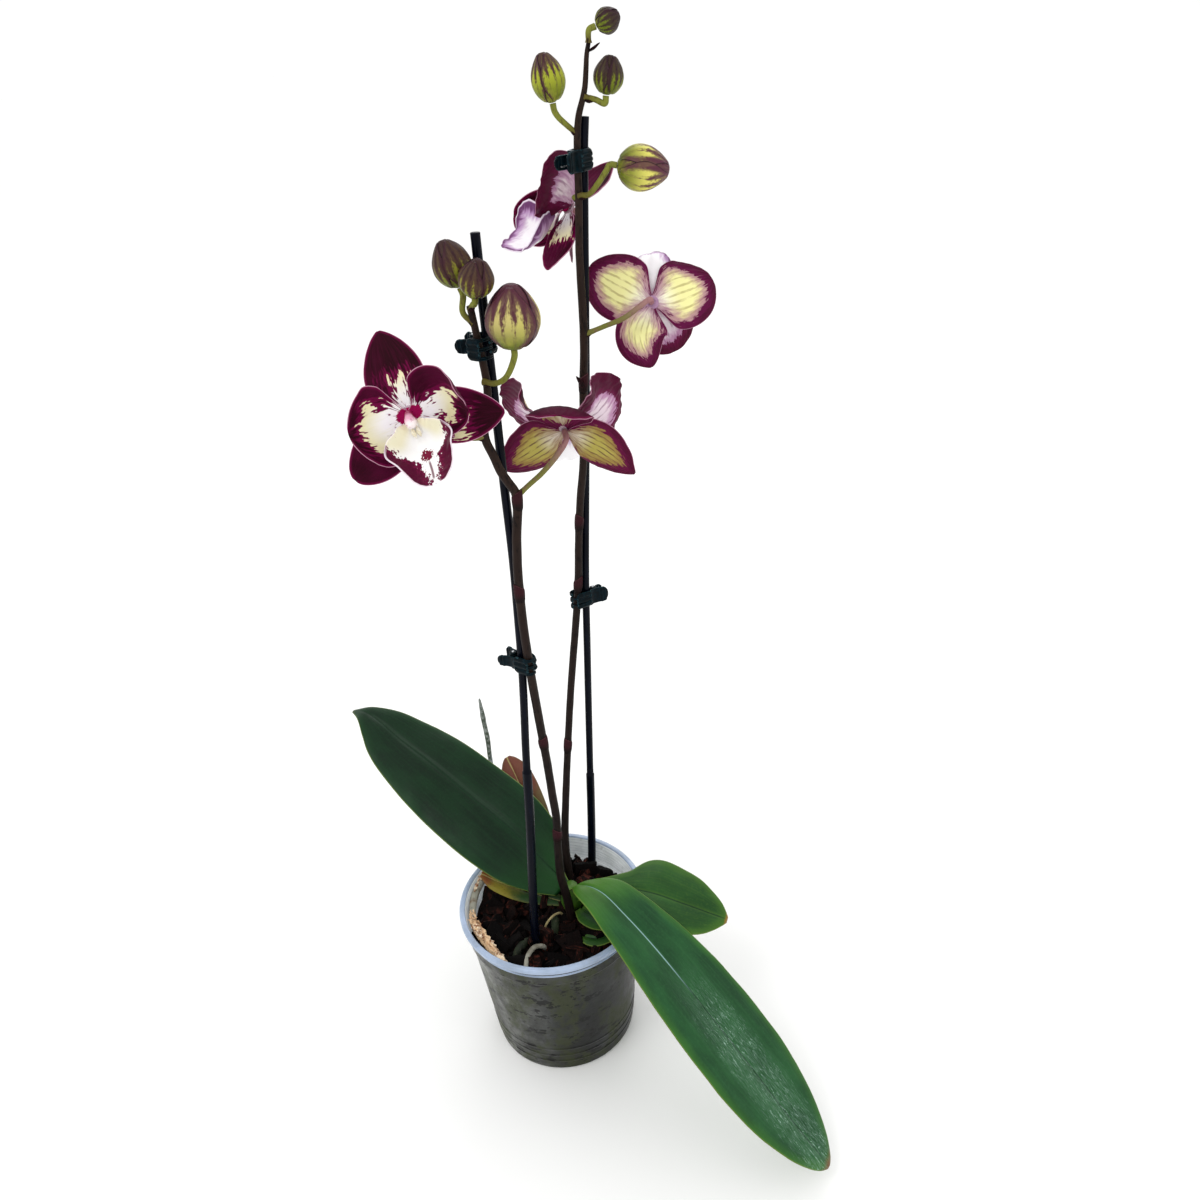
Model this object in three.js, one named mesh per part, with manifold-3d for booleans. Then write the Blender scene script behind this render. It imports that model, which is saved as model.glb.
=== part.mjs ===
// A potted daruma moth orchid: clear nursery pot, bark, roots, leaves, and two flower spikes
// clipped to stakes. Millimetres, +Z up. The origin is the centre of the pot's foot on the
// surface that it stands on, and -Y is the side that the blooms are seen from.
import * as THREE from "three";
import { mergeVertices } from "three/addons/utils/BufferGeometryUtils.js";
import Module from "manifold-3d";

const wasm = await Module();
wasm.setup();

// Clearance between pieces that touch
const GAP = 0.3;

// Pot
const POT_HEIGHT = 108.5;
const POT_FOOT_RADIUS = 46.3;
const POT_SHOULDER_RADIUS = 55.4;
const POT_COLLAR_RADIUS = 56.8;
const POT_RIM_RADIUS = 60;
const POT_SHOULDER_HEIGHT = 91;
const POT_RIM_DEPTH = 4.2;
const POT_WALL = 1;
const POT_FLOOR = 1.8;
const POT_SIDES = 32;
const DRAIN_RADIUS = 3.2;
const DRAIN_CIRCLE = 31;
const DRAIN_COUNT = 8;

// Bark
const BARK_TOP = 94;
const BARK_RINGS = 3;
const BARK_SIDES = 20;
const CHIP_COUNT = 20;

// Stakes and flower stems
const STAKE_RADIUS = 2.2;
const SLEEVE_RADIUS = 2.7;
const STEM_RADIUS = 2.35;
const PEDICEL_RADIUS = 1.5;

// Clips
const CLIP_HALF_HEIGHT = 5;
const CLIP_PIN_RADIUS = 0.8;
const CLIP_COIL_RADIUS = 1.6;
const CLIP_BAND = 1.1;
const CLIP_TAB_LENGTH = 8;

// Blooms
const LIP_THICKNESS = 1.1;
const COLUMN_LENGTH = 9;
const COLUMN_RADIUS = 2.5;
const TEPAL_THICKNESS = 0.9;
const SEPAL_SEAT = -1.1;
const PETAL_SEAT = 1.3;
const HUB_BACK = -2;

// Repeatable random numbers between 0 and 1
function randomSource(seed) {
  let state = seed;
  return () => {
    state = (state * 1664525 + 1013904223) % 4294967296;
    return state / 4294967296;
  };
}

const vector = (list) => new THREE.Vector3(...list);
const curveThrough = (points) => new THREE.CatmullRomCurve3(points.map(vector), false, "centripetal");
const smooth = (t) => THREE.MathUtils.smoothstep(t, 0, 1);

// Value at t of the straight lines that join pairs [t, value]
function alongPairs(pairs, t) {
  let k = 0;
  while (k < pairs.length - 2 && t > pairs[k + 1][0]) k += 1;
  const [t0, a] = pairs[k];
  const [t1, b] = pairs[k + 1];
  const share = THREE.MathUtils.clamp((t - t0) / (t1 - t0), 0, 1);
  return a + (b - a) * share;
}

// Solids and geometries
function solidOf(geometry) {
  const bare = geometry.clone();
  bare.deleteAttribute("normal");
  bare.deleteAttribute("uv");
  const merged = mergeVertices(bare, 1e-4);
  return new wasm.Manifold(
    new wasm.Mesh({
      numProp: 3,
      vertProperties: merged.attributes.position.array,
      triVerts: new Uint32Array(merged.index.array),
    }),
  );
}

function geometryOf(solid) {
  const mesh = solid.getMesh();
  const geometry = new THREE.BufferGeometry();
  geometry.setAttribute("position", new THREE.BufferAttribute(mesh.vertProperties.slice(), 3));
  geometry.setIndex(new THREE.BufferAttribute(mesh.triVerts.slice(), 1));
  geometry.computeVertexNormals();
  return geometry;
}

function fuse(geometries) {
  return geometryOf(geometries.map(solidOf).reduce((joined, next) => joined.add(next)));
}

// What is left of a geometry once the others are taken out, largest piece only
function carve(geometry, others) {
  const left = others.reduce((rest, other) => rest.subtract(solidOf(other)), solidOf(geometry));
  const pieces = left.decompose().sort((a, b) => b.volume() - a.volume());
  return geometryOf(pieces[0]);
}

function indexedGeometry(points, index) {
  const geometry = new THREE.BufferGeometry();
  const positions = points.flatMap((p) => [p.x, p.y, p.z]);
  geometry.setAttribute("position", new THREE.Float32BufferAttribute(positions, 3));
  geometry.setIndex(index);
  return geometry;
}

// Closed skin over rings of equal point counts, each ring anticlockwise seen from the last one
function skin(rings) {
  const count = rings[0].length;
  const points = rings.flat();
  const index = [];
  for (let r = 0; r + 1 < rings.length; r += 1) {
    for (let k = 0; k < count; k += 1) {
      const a = r * count + k;
      const b = r * count + ((k + 1) % count);
      index.push(a, b, b + count, a, b + count, a + count);
    }
  }
  const ends = [
    [0, true],
    [rings.length - 1, false],
  ];
  for (const [r, turned] of ends) {
    const centre = rings[r].reduce((sum, p) => sum.add(p), new THREE.Vector3()).divideScalar(count);
    const middle = points.push(centre) - 1;
    for (let k = 0; k < count; k += 1) {
      const a = r * count + k;
      const b = r * count + ((k + 1) % count);
      index.push(middle, turned ? b : a, turned ? a : b);
    }
  }
  return indexedGeometry(points, index);
}

// Round closed tube along a curve; radiusAt gives the radius for a share of the length
function tube(points, radiusAt, { sides = 8, steps = 12, grow = 0 } = {}) {
  const curve = curveThrough(points);
  const frames = curve.computeFrenetFrames(steps, false);
  const rings = [];
  for (let i = 0; i <= steps; i += 1) {
    const share = i / steps;
    const centre = curve.getPointAt(share);
    const radius = (typeof radiusAt === "function" ? radiusAt(share) : radiusAt) + grow;
    const ring = [];
    for (let k = 0; k < sides; k += 1) {
      const angle = (2 * Math.PI * k) / sides;
      ring.push(
        centre
          .clone()
          .addScaledVector(frames.normals[i], radius * Math.cos(angle))
          .addScaledVector(frames.binormals[i], radius * Math.sin(angle)),
      );
    }
    rings.push(ring);
  }
  return skin(rings);
}

// Thin closed sheet about surface(u, v): u runs from 0 at the base to 1 at the tip, v from -1
// to 1 across. Both faces are split into triangles alike.
function sheet(surface, rows, columns, thicknessAt) {
  const width = columns + 1;
  const middle = [];
  for (let i = 0; i <= rows; i += 1) {
    for (let j = 0; j <= columns; j += 1) middle.push(surface(i / rows, (2 * j) / columns - 1));
  }
  const at = (i, j) =>
    middle[
      THREE.MathUtils.clamp(i, 0, rows) * width + THREE.MathUtils.clamp(j, 0, columns)
    ];
  const front = [];
  const back = [];
  for (let i = 0; i <= rows; i += 1) {
    for (let j = 0; j <= columns; j += 1) {
      const across = at(i, j + 1).clone().sub(at(i, j - 1));
      const along = at(i + 1, j).clone().sub(at(i - 1, j));
      const normal = across.cross(along).normalize();
      const half = thicknessAt(i / rows, (2 * j) / columns - 1) / 2;
      front.push(at(i, j).clone().addScaledVector(normal, half));
      back.push(at(i, j).clone().addScaledVector(normal, -half));
    }
  }
  const index = [];
  const f = (i, j) => i * width + j;
  const k = (i, j) => f(i, j) + front.length;
  for (let i = 0; i < rows; i += 1) {
    for (let j = 0; j < columns; j += 1) {
      index.push(f(i, j), f(i, j + 1), f(i + 1, j + 1), f(i, j), f(i + 1, j + 1), f(i + 1, j));
      index.push(k(i, j), k(i + 1, j + 1), k(i, j + 1), k(i, j), k(i + 1, j), k(i + 1, j + 1));
    }
    const right = columns;
    index.push(f(i, right), k(i, right), k(i + 1, right), f(i, right), k(i + 1, right), f(i + 1, right));
    index.push(f(i, 0), f(i + 1, 0), k(i + 1, 0), f(i, 0), k(i + 1, 0), k(i, 0));
  }
  for (let j = 0; j < columns; j += 1) {
    const tip = rows;
    index.push(f(0, j), k(0, j), k(0, j + 1), f(0, j), k(0, j + 1), f(0, j + 1));
    index.push(f(tip, j), k(tip, j + 1), k(tip, j), f(tip, j), f(tip, j + 1), k(tip, j + 1));
  }
  return indexedGeometry([...front, ...back], index);
}

// Materials
const material = (color, roughness, metalness = 0) =>
  new THREE.MeshStandardMaterial({ color, roughness, metalness });
const CLEAR_PLASTIC = new THREE.MeshStandardMaterial({
  color: "#c9d2dc",
  roughness: 0.35,
  transparent: true,
  opacity: 0.45,
});
const BARK = material("#33201a", 0.95);
const ROOT = material("#9d9c8c", 0.8);
const GREEN_ROOT = material("#4d5a32", 0.8);
const LEAF = material("#23502c", 0.4);
const OLD_LEAF = material("#7a5a30", 0.6);
const STEM = material("#2e2421", 0.55);
const STAKE = material("#0d1220", 0.35);
const CLIP = material("#0c2a30", 0.4);
const STEEL = material("#b9bdc2", 0.3, 1);
const BUD = material("#8b8636", 0.5);
const TEPAL = material("#4c0a2a", 0.5);
const LIP = material("#f0e6e4", 0.5);

const plant = new THREE.Group();

function add(name, geometry, finish, parent = plant) {
  const mesh = new THREE.Mesh(geometry, finish);
  mesh.name = name;
  parent.add(mesh);
  return mesh;
}

// Pot: one thin shell with a rolled rim, a collar under it and holes in its floor
function potGeometry() {
  const rimUnder = POT_HEIGHT - POT_RIM_DEPTH;
  const outline = [
    [0, 0],
    [POT_FOOT_RADIUS - 1, 0],
    [POT_FOOT_RADIUS, 1],
    [POT_FOOT_RADIUS + 0.4, 4],
    [POT_SHOULDER_RADIUS, POT_SHOULDER_HEIGHT],
    [POT_COLLAR_RADIUS, POT_SHOULDER_HEIGHT + 1.5],
    [POT_COLLAR_RADIUS + 0.4, rimUnder - 1.2],
    [POT_RIM_RADIUS - 0.8, rimUnder],
    [POT_RIM_RADIUS, rimUnder + 1],
    [POT_RIM_RADIUS, POT_HEIGHT - 0.8],
    [POT_RIM_RADIUS - 0.8, POT_HEIGHT],
    [POT_COLLAR_RADIUS + 0.2, POT_HEIGHT],
    [POT_COLLAR_RADIUS - 0.5, POT_HEIGHT - 0.8],
    [POT_COLLAR_RADIUS - POT_WALL, rimUnder - 1],
    [POT_COLLAR_RADIUS - POT_WALL, POT_SHOULDER_HEIGHT + 1.2],
    [POT_SHOULDER_RADIUS - POT_WALL, POT_SHOULDER_HEIGHT],
    [POT_FOOT_RADIUS - POT_WALL + 0.4, POT_FLOOR + 2.4],
    [POT_FOOT_RADIUS - POT_WALL - 0.8, POT_FLOOR],
    [0, POT_FLOOR],
  ];
  const shell = new THREE.LatheGeometry(
    outline.map(([r, z]) => new THREE.Vector2(r, z)),
    POT_SIDES,
  );
  shell.rotateX(Math.PI / 2);
  const drains = [];
  for (let i = 0; i < DRAIN_COUNT; i += 1) {
    const angle = (2 * Math.PI * (i + 0.5)) / DRAIN_COUNT;
    const drill = new THREE.CylinderGeometry(DRAIN_RADIUS, DRAIN_RADIUS, 4 * POT_FLOOR, 8);
    drill.rotateX(Math.PI / 2);
    drill.translate(DRAIN_CIRCLE * Math.cos(angle), DRAIN_CIRCLE * Math.sin(angle), 0);
    drains.push(drill);
  }
  return carve(shell, drains);
}

// Crown: the short stem that the leaves clasp
const CROWN_POINTS = [
  [13, 5, 66],
  [13, 5, 84],
  [13, 4.5, 98],
  [13, 4, 112],
];
const crownRadius = (t) => alongPairs([[0, 5], [0.35, 8.2], [0.75, 7.4], [1, 4.2]], t);
const crownGeometry = (grow = 0) => tube(CROWN_POINTS, crownRadius, { sides: 10, steps: 6, grow });

// Stakes: coated rods with a sleeve on their lower stretch
const LEFT_STAKE_POINTS = [
  [-18.6, -24.2, 12],
  [-13.7, -24.4, 98],
  [-11.2, -24.4, 138],
  [-6.9, -24.4, 196],
  [-3.9, -24.4, 246],
  [-1.6, -24.4, 276],
  [0, -24.4, 300],
  [1.3, -24.4, 330],
  [2.6, -24.4, 366],
  [2.9, -24.4, 403],
  [3.5, -24.4, 448],
  [3.8, -24.4, 494],
  [4.3, -24.4, 523.3],
];
const RIGHT_STAKE_POINTS = [
  [24.5, 34, 12],
  [30.1, 40.2, 91],
  [32.6, 40.6, 127],
  [36.2, 40.6, 190],
  [40.7, 40.6, 266],
  [43.7, 40.6, 316],
  [48.1, 40.6, 371],
  [52.8, 40.6, 428],
  [56.1, 40.6, 475],
  [59.5, 40.6, 523],
  [61.1, 40.6, 545],
  [62.7, 40.6, 559.6],
];
const SLEEVE_TOP_SHARE = { left: 0.43, right: 0.29 };

function stakeGeometry(points, sleeveTop, grow = 0) {
  const radius = (t) =>
    alongPairs(
      [
        [0, SLEEVE_RADIUS],
        [sleeveTop, SLEEVE_RADIUS],
        [sleeveTop + 0.01, STAKE_RADIUS],
        [1, STAKE_RADIUS],
      ],
      t,
    );
  return tube(points, radius, { sides: 8, steps: 14, grow });
}
const leftStake = (grow) => stakeGeometry(LEFT_STAKE_POINTS, SLEEVE_TOP_SHARE.left, grow);
const rightStake = (grow) => stakeGeometry(RIGHT_STAKE_POINTS, SLEEVE_TOP_SHARE.right, grow);

// Flower spikes: a stem that thins upwards, sheathed nodes, and a pedicel to each flower and bud
const LEFT_SPIKE = {
  stem: [
    [11.3, -6.8, 84],
    [10.6, -8, 98],
    [9.2, -9, 117],
    [7.2, -10.4, 135],
    [7.4, -12, 158],
    [8.7, -14, 184],
    [8, -16, 205],
    [7.3, -18, 229],
    [6.2, -21.2, 253],
    [5.2, -24.6, 275.6],
    [4.2, -27.8, 299],
    [3.7, -28.9, 317],
    [3.5, -29.4, 336],
    [4, -29.6, 358],
    [5.6, -30, 379],
    [8.1, -30, 402.7],
    [4.9, -30.2, 410],
    [2.2, -30.4, 415.5],
    [-0.3, -30.6, 424],
    [-2.8, -30.6, 431.5],
    [-3, -30.2, 437],
    [-0.8, -30, 444],
    [0.5, -29.8, 451],
    [0.9, -29.6, 461],
    [-0.5, -29.8, 478],
    [-1.4, -30.2, 488],
    [-2, -30.6, 494],
  ],
  radii: [
    [0, 3],
    [0.2, STEM_RADIUS + 0.1],
    [0.75, STEM_RADIUS],
    [0.9, 1.9],
    [1, 1.6],
  ],
  nodes: [170.7, 246, 348, 399],
  pedicels: {
    bloom_a: [[-2.6, -30.4, 434], [-10, -32.5, 434.8], [-19, -34.2, 439.5], [-27.5, -36, 446]],
    bloom_b: [[7.6, -30, 401.5], [15.3, -28, 406.7], [21.2, -26, 410.3], [29, -22.5, 416.4]],
    bud_7: [[-0.6, -31, 460], [4.8, -34.2, 459.6], [9.6, -35.6, 462]],
    bud_5: [[-1.4, -30.2, 486], [-5.4, -28.4, 491]],
    bud_6: [[-2, -30.6, 492.5], [-0.6, -33, 495]],
  },
};

const RIGHT_SPIKE = {
  stem: [
    [13.4, 17, 88],
    [13.2, 19, 105],
    [13.1, 22, 126],
    [14.1, 25.5, 140],
    [16.4, 28, 158.5],
    [20.3, 31, 188],
    [26.9, 35, 235],
    [30.6, 36.5, 259],
    [34, 37.6, 280],
    [36.9, 38.2, 299],
    [39.2, 38, 318],
    [41, 37.6, 338],
    [42.8, 37, 355],
    [45, 36.6, 371.6],
    [47, 35.8, 384],
    [49, 35.6, 402],
    [50.5, 35.6, 424],
    [51.7, 35.6, 437],
    [53.2, 35.6, 453],
    [53.9, 35.8, 468],
    [54.2, 36.2, 482],
    [54.8, 36.8, 500],
    [56, 36.9, 516],
    [56.8, 37, 528],
    [57.4, 37, 541],
    [58.1, 36.8, 552],
    [59.6, 36.6, 560.5],
    [61.9, 36.8, 567],
    [63.5, 37.4, 572],
    [64.6, 38, 579],
    [65.4, 38, 585],
    [67, 38, 591],
  ],
  radii: [
    [0, 2.8],
    [0.2, STEM_RADIUS - 0.1],
    [0.75, STEM_RADIUS - 0.2],
    [0.92, 1.7],
    [1, 1],
  ],
  nodes: [202, 312, 352, 432],
  pedicels: {
    bloom_c: [[53.4, 35.8, 458.4], [64.8, 35.5, 461.8], [74.8, 36.2, 464.6]],
    bloom_d: [[56.4, 37.2, 524], [55, 42, 524], [57.4, 50, 521], [61.6, 58, 516]],
    bud_4: [[56.6, 36.4, 525.4], [61.2, 33.2, 526], [65.3, 32.2, 530], [70, 32, 535.6]],
    bud_2: [[58.1, 37, 552.6], [53.6, 38, 556.7], [50, 38, 560.4]],
    bud_3: [[62.4, 36.8, 568], [67.7, 36.6, 566.4]],
    bud_1: [[66.6, 38, 589.6]],
  },
};

const stemRadius = (spike) => (t) => alongPairs(spike.radii, t);

// Point on a spike's stem at a height, with the share of the stem's length there
function onStem(spike, height) {
  const curve = curveThrough(spike.stem);
  let low = 0;
  let high = 1;
  for (let i = 0; i < 30; i += 1) {
    const share = (low + high) / 2;
    if (curve.getPointAt(share).z < height) low = share;
    else high = share;
  }
  return { centre: curve.getPointAt(low), tangent: curve.getTangentAt(low), share: low };
}

// Sheath at a node: a short flared cup, higher on the side that the eye below it faces
function nodeSheath(spike, height, side) {
  const { centre, tangent, share } = onStem(spike, height);
  const radius = stemRadius(spike)(share);
  const lean = new THREE.Vector3(side, -0.6, 0).normalize();
  const profile = [
    [-4, 0.15],
    [0, 0.8],
    [5, 0.1],
  ];
  const rings = profile.map(([up, proud]) => {
    const ring = [];
    for (let k = 0; k < 6; k += 1) {
      const angle = (2 * Math.PI * k) / 6;
      const spoke = new THREE.Vector3(Math.cos(angle), Math.sin(angle), 0);
      const higher = up > 0 ? 1.6 * spoke.dot(lean) : 0;
      ring.push(
        centre
          .clone()
          .addScaledVector(tangent, up + higher)
          .addScaledVector(spoke, radius + proud),
      );
    }
    return ring;
  });
  return skin(rings);
}

// Route of a pedicel, taken on to the back of the bloom or bud that it carries
function pedicelRoute(route, target) {
  const bloom = BLOOMS[target.replace("bloom_", "")];
  const tip = bloom ? vector(bloom.facing).normalize() : vector(BUDS[target].axis).normalize();
  const seat = bloom
    ? vector(bloom.centre).addScaledVector(tip, HUB_BACK)
    : vector(BUDS[target].centre).addScaledVector(tip, -BUDS[target].length / 2);
  const run = bloom ? 7 : 3.6;
  const ends = [-run, -GAP - 0.1].map((step) => seat.clone().addScaledVector(tip, step).toArray());
  return [...route, ...ends];
}

function spikeGeometry(spike, steps) {
  const pieces = [tube(spike.stem, stemRadius(spike), { sides: 6, steps })];
  spike.nodes.forEach((height, i) => pieces.push(nodeSheath(spike, height, i % 2 ? 1 : -1)));
  for (const [target, route] of Object.entries(spike.pedicels)) {
    const swell = (t) => PEDICEL_RADIUS * alongPairs([[0, 1.15], [0.15, 0.85], [0.8, 0.95], [1, 1]], t);
    pieces.push(tube(pedicelRoute(route, target), swell, { sides: 5, steps: 5 }));
  }
  return fuse(pieces);
}

// Leaves: midrib, full width at shares of the length, how far the near half is wider (skew), what
// is left of the far half at the base (tuck), and which way the upper face looks at base and tip
const LEAVES = {
  leaf_left_big: {
    spine: [
      [10.8, 6.6, 110.5],
      [3, 14, 117],
      [-21.5, 36.1, 139.2],
      [-45.4, 57.6, 153.9],
      [-70, 79.7, 169.1],
      [-89.2, 97, 179.1],
      [-102, 108.5, 187.5],
      [-111.5, 117.1, 190.7],
      [-121.7, 126.3, 187.7],
    ],
    widths: [
      [0, 18], [0.08, 38], [0.18, 54], [0.3, 61], [0.45, 61], [0.6, 57], [0.72, 49],
      [0.81, 39], [0.87, 28], [0.92, 17], [0.96, 9], [1, 2],
    ],
    skew: 0.11,
    tuck: 0.3,
    face: [[-0.25, -0.35, 1], [-0.1, -0.15, 1]],
    fold: 0.14,
    droop: 1.1,
    thickness: 1.9,
    rows: 13,
    columns: 4,
  },
  leaf_right_big: {
    spine: [
      [14.5, 1.5, 111],
      [20, -4.5, 118.5],
      [31, -19.7, 124.9],
      [42.8, -35.2, 119],
      [57.7, -53.5, 106.8],
      [79.2, -80, 84.1],
      [100.1, -105, 59.6],
      [118.2, -126.6, 37],
      [131.5, -142.2, 21.2],
      [137.7, -149, 14.2],
    ],
    widths: [
      [0, 8], [0.04, 14], [0.08, 24], [0.16, 36], [0.3, 49], [0.45, 59], [0.6, 63], [0.72, 61],
      [0.82, 53], [0.9, 40], [0.955, 26], [0.985, 14], [1, 3],
    ],
    skew: 0,
    tuck: 1,
    face: [[0.1, 0.1, 1], [0.1, 0.05, 1]],
    fold: 0.2,
    droop: 0.7,
    thickness: 1.9,
    rows: 13,
    columns: 4,
  },
  leaf_right_small: {
    spine: [
      [17, 4, 103],
      [32, 2, 107],
      [50, -6.5, 111],
      [64.9, -12, 109.2],
      [80.3, -18, 104.2],
      [92, -23.3, 100.9],
      [100.8, -27, 97.8],
      [108.2, -30.5, 95.4],
    ],
    widths: [
      [0, 12], [0.12, 16], [0.3, 29], [0.5, 54], [0.7, 48], [0.84, 36], [0.93, 22], [0.98, 10], [1, 4],
    ],
    skew: 0,
    tuck: 1,
    face: [[0.05, 0, 1], [0.15, -0.3, 1]],
    fold: 0.16,
    droop: 0.8,
    thickness: 1.8,
    rows: 9,
    columns: 4,
  },
  leaf_old_upright: {
    spine: [
      [5.5, 11.5, 104],
      [1, 28, 106],
      [-2.9, 49.4, 110],
      [-7.9, 64, 128],
      [-12.9, 78.7, 143],
      [-18.6, 95, 152.4],
    ],
    widths: [[0, 10], [0.3, 20], [0.6, 26], [0.85, 22], [0.96, 12], [1, 4]],
    skew: 0,
    tuck: 1,
    face: [[-0.2, -0.6, 1], [-0.3, -1, 0.8]],
    fold: 0.16,
    droop: 0.7,
    thickness: 1.5,
    rows: 7,
    columns: 4,
  },
  leaf_yellowing: {
    spine: [
      [5.5, 5.5, 97.6],
      [-7.5, 11.5, 99.8],
      [-20.3, 17.1, 102.5],
      [-34.7, 22.3, 107.6],
      [-44.5, 25.9, 112.5],
    ],
    widths: [[0, 7], [0.3, 15], [0.6, 17], [0.85, 13], [1, 4]],
    skew: 0,
    tuck: 1,
    face: [[-0.1, -0.3, 1], [-0.1, -0.3, 1]],
    fold: 0.2,
    droop: 0.7,
    thickness: 1.4,
    rows: 6,
    columns: 4,
  },
  leaf_lower_front: {
    spine: [[18, -5, 99.5], [22, -11, 100.3], [28, -19, 101.4], [33.5, -27, 100.5]],
    widths: [[0, 11], [0.35, 20], [0.7, 19], [0.9, 11], [1, 3]],
    skew: 0,
    tuck: 1,
    face: [[0.1, -0.1, 1], [0.1, -0.1, 1]],
    fold: 0.22,
    droop: 0.7,
    thickness: 1.5,
    rows: 5,
    columns: 4,
  },
  leaf_lower_small: {
    spine: [[15, -25, 96.4], [23, -29.5, 97.2], [31, -29, 97.6], [39, -26, 96.8]],
    widths: [[0, 7], [0.3, 12], [0.65, 12], [0.9, 7], [1, 2.5]],
    skew: 0,
    tuck: 1,
    face: [[0, -0.1, 1], [0, -0.1, 1]],
    fold: 0.2,
    droop: 0.7,
    thickness: 1.3,
    rows: 5,
    columns: 4,
  },
};

// Blade about a spine. halfAt(u, v) is the width to that side and riseAt(u, v, half) the height
// off the flat; face is the way that the front looks at the base and at the tip.
function bladeSurface(spine, face, halfAt, riseAt) {
  const curve = curveThrough(spine);
  const [first, last] = face.map((list) => vector(list).normalize());
  return (u, v) => {
    const centre = curve.getPointAt(u);
    const tangent = curve.getTangentAt(u);
    const look = first.clone().lerp(last, u);
    const across = new THREE.Vector3().crossVectors(tangent, look).normalize();
    const normal = new THREE.Vector3().crossVectors(across, tangent);
    const half = halfAt(u, v);
    return centre.addScaledVector(across, half * v).addScaledVector(normal, riseAt(u, v, half));
  };
}

// Leaf blade: a channel along the midrib and margins that turn down
function leafGeometry(leaf, grow = 0) {
  const farShare = (u, v) => (v > 0 ? THREE.MathUtils.lerp(leaf.tuck, 1, smooth(u / 0.16)) : 1);
  const halfAt = (u, v) =>
    (alongPairs(leaf.widths, u) / 2) * (1 - leaf.skew * Math.sign(v)) * farShare(u, v);
  const riseAt = (u, v, half) => 1.2 * leaf.fold * half * (Math.abs(v) - leaf.droop * v * v);
  const thick = (u, v) => leaf.thickness * (1 - 0.45 * v * v) + 2 * grow;
  const surface = bladeSurface(leaf.spine, leaf.face, halfAt, riseAt);
  return sheet(surface, leaf.rows, leaf.columns, thick);
}

// Sepals and petals, each with its spine in the bloom's own frame: X to the right, Y to the
// dorsal sepal, Z out of the face
const FLAT = [[0, 0, 1], [0, 0, 1]];
const SEPAL = { width: 26, widest: 0.48, blunt: 0.62, claw: 0.4, cup: 0.12, face: FLAT };
const PETAL = { width: 37, widest: 0.55, blunt: 0.5, claw: 0.35, cup: 0.28, face: FLAT };

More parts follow.
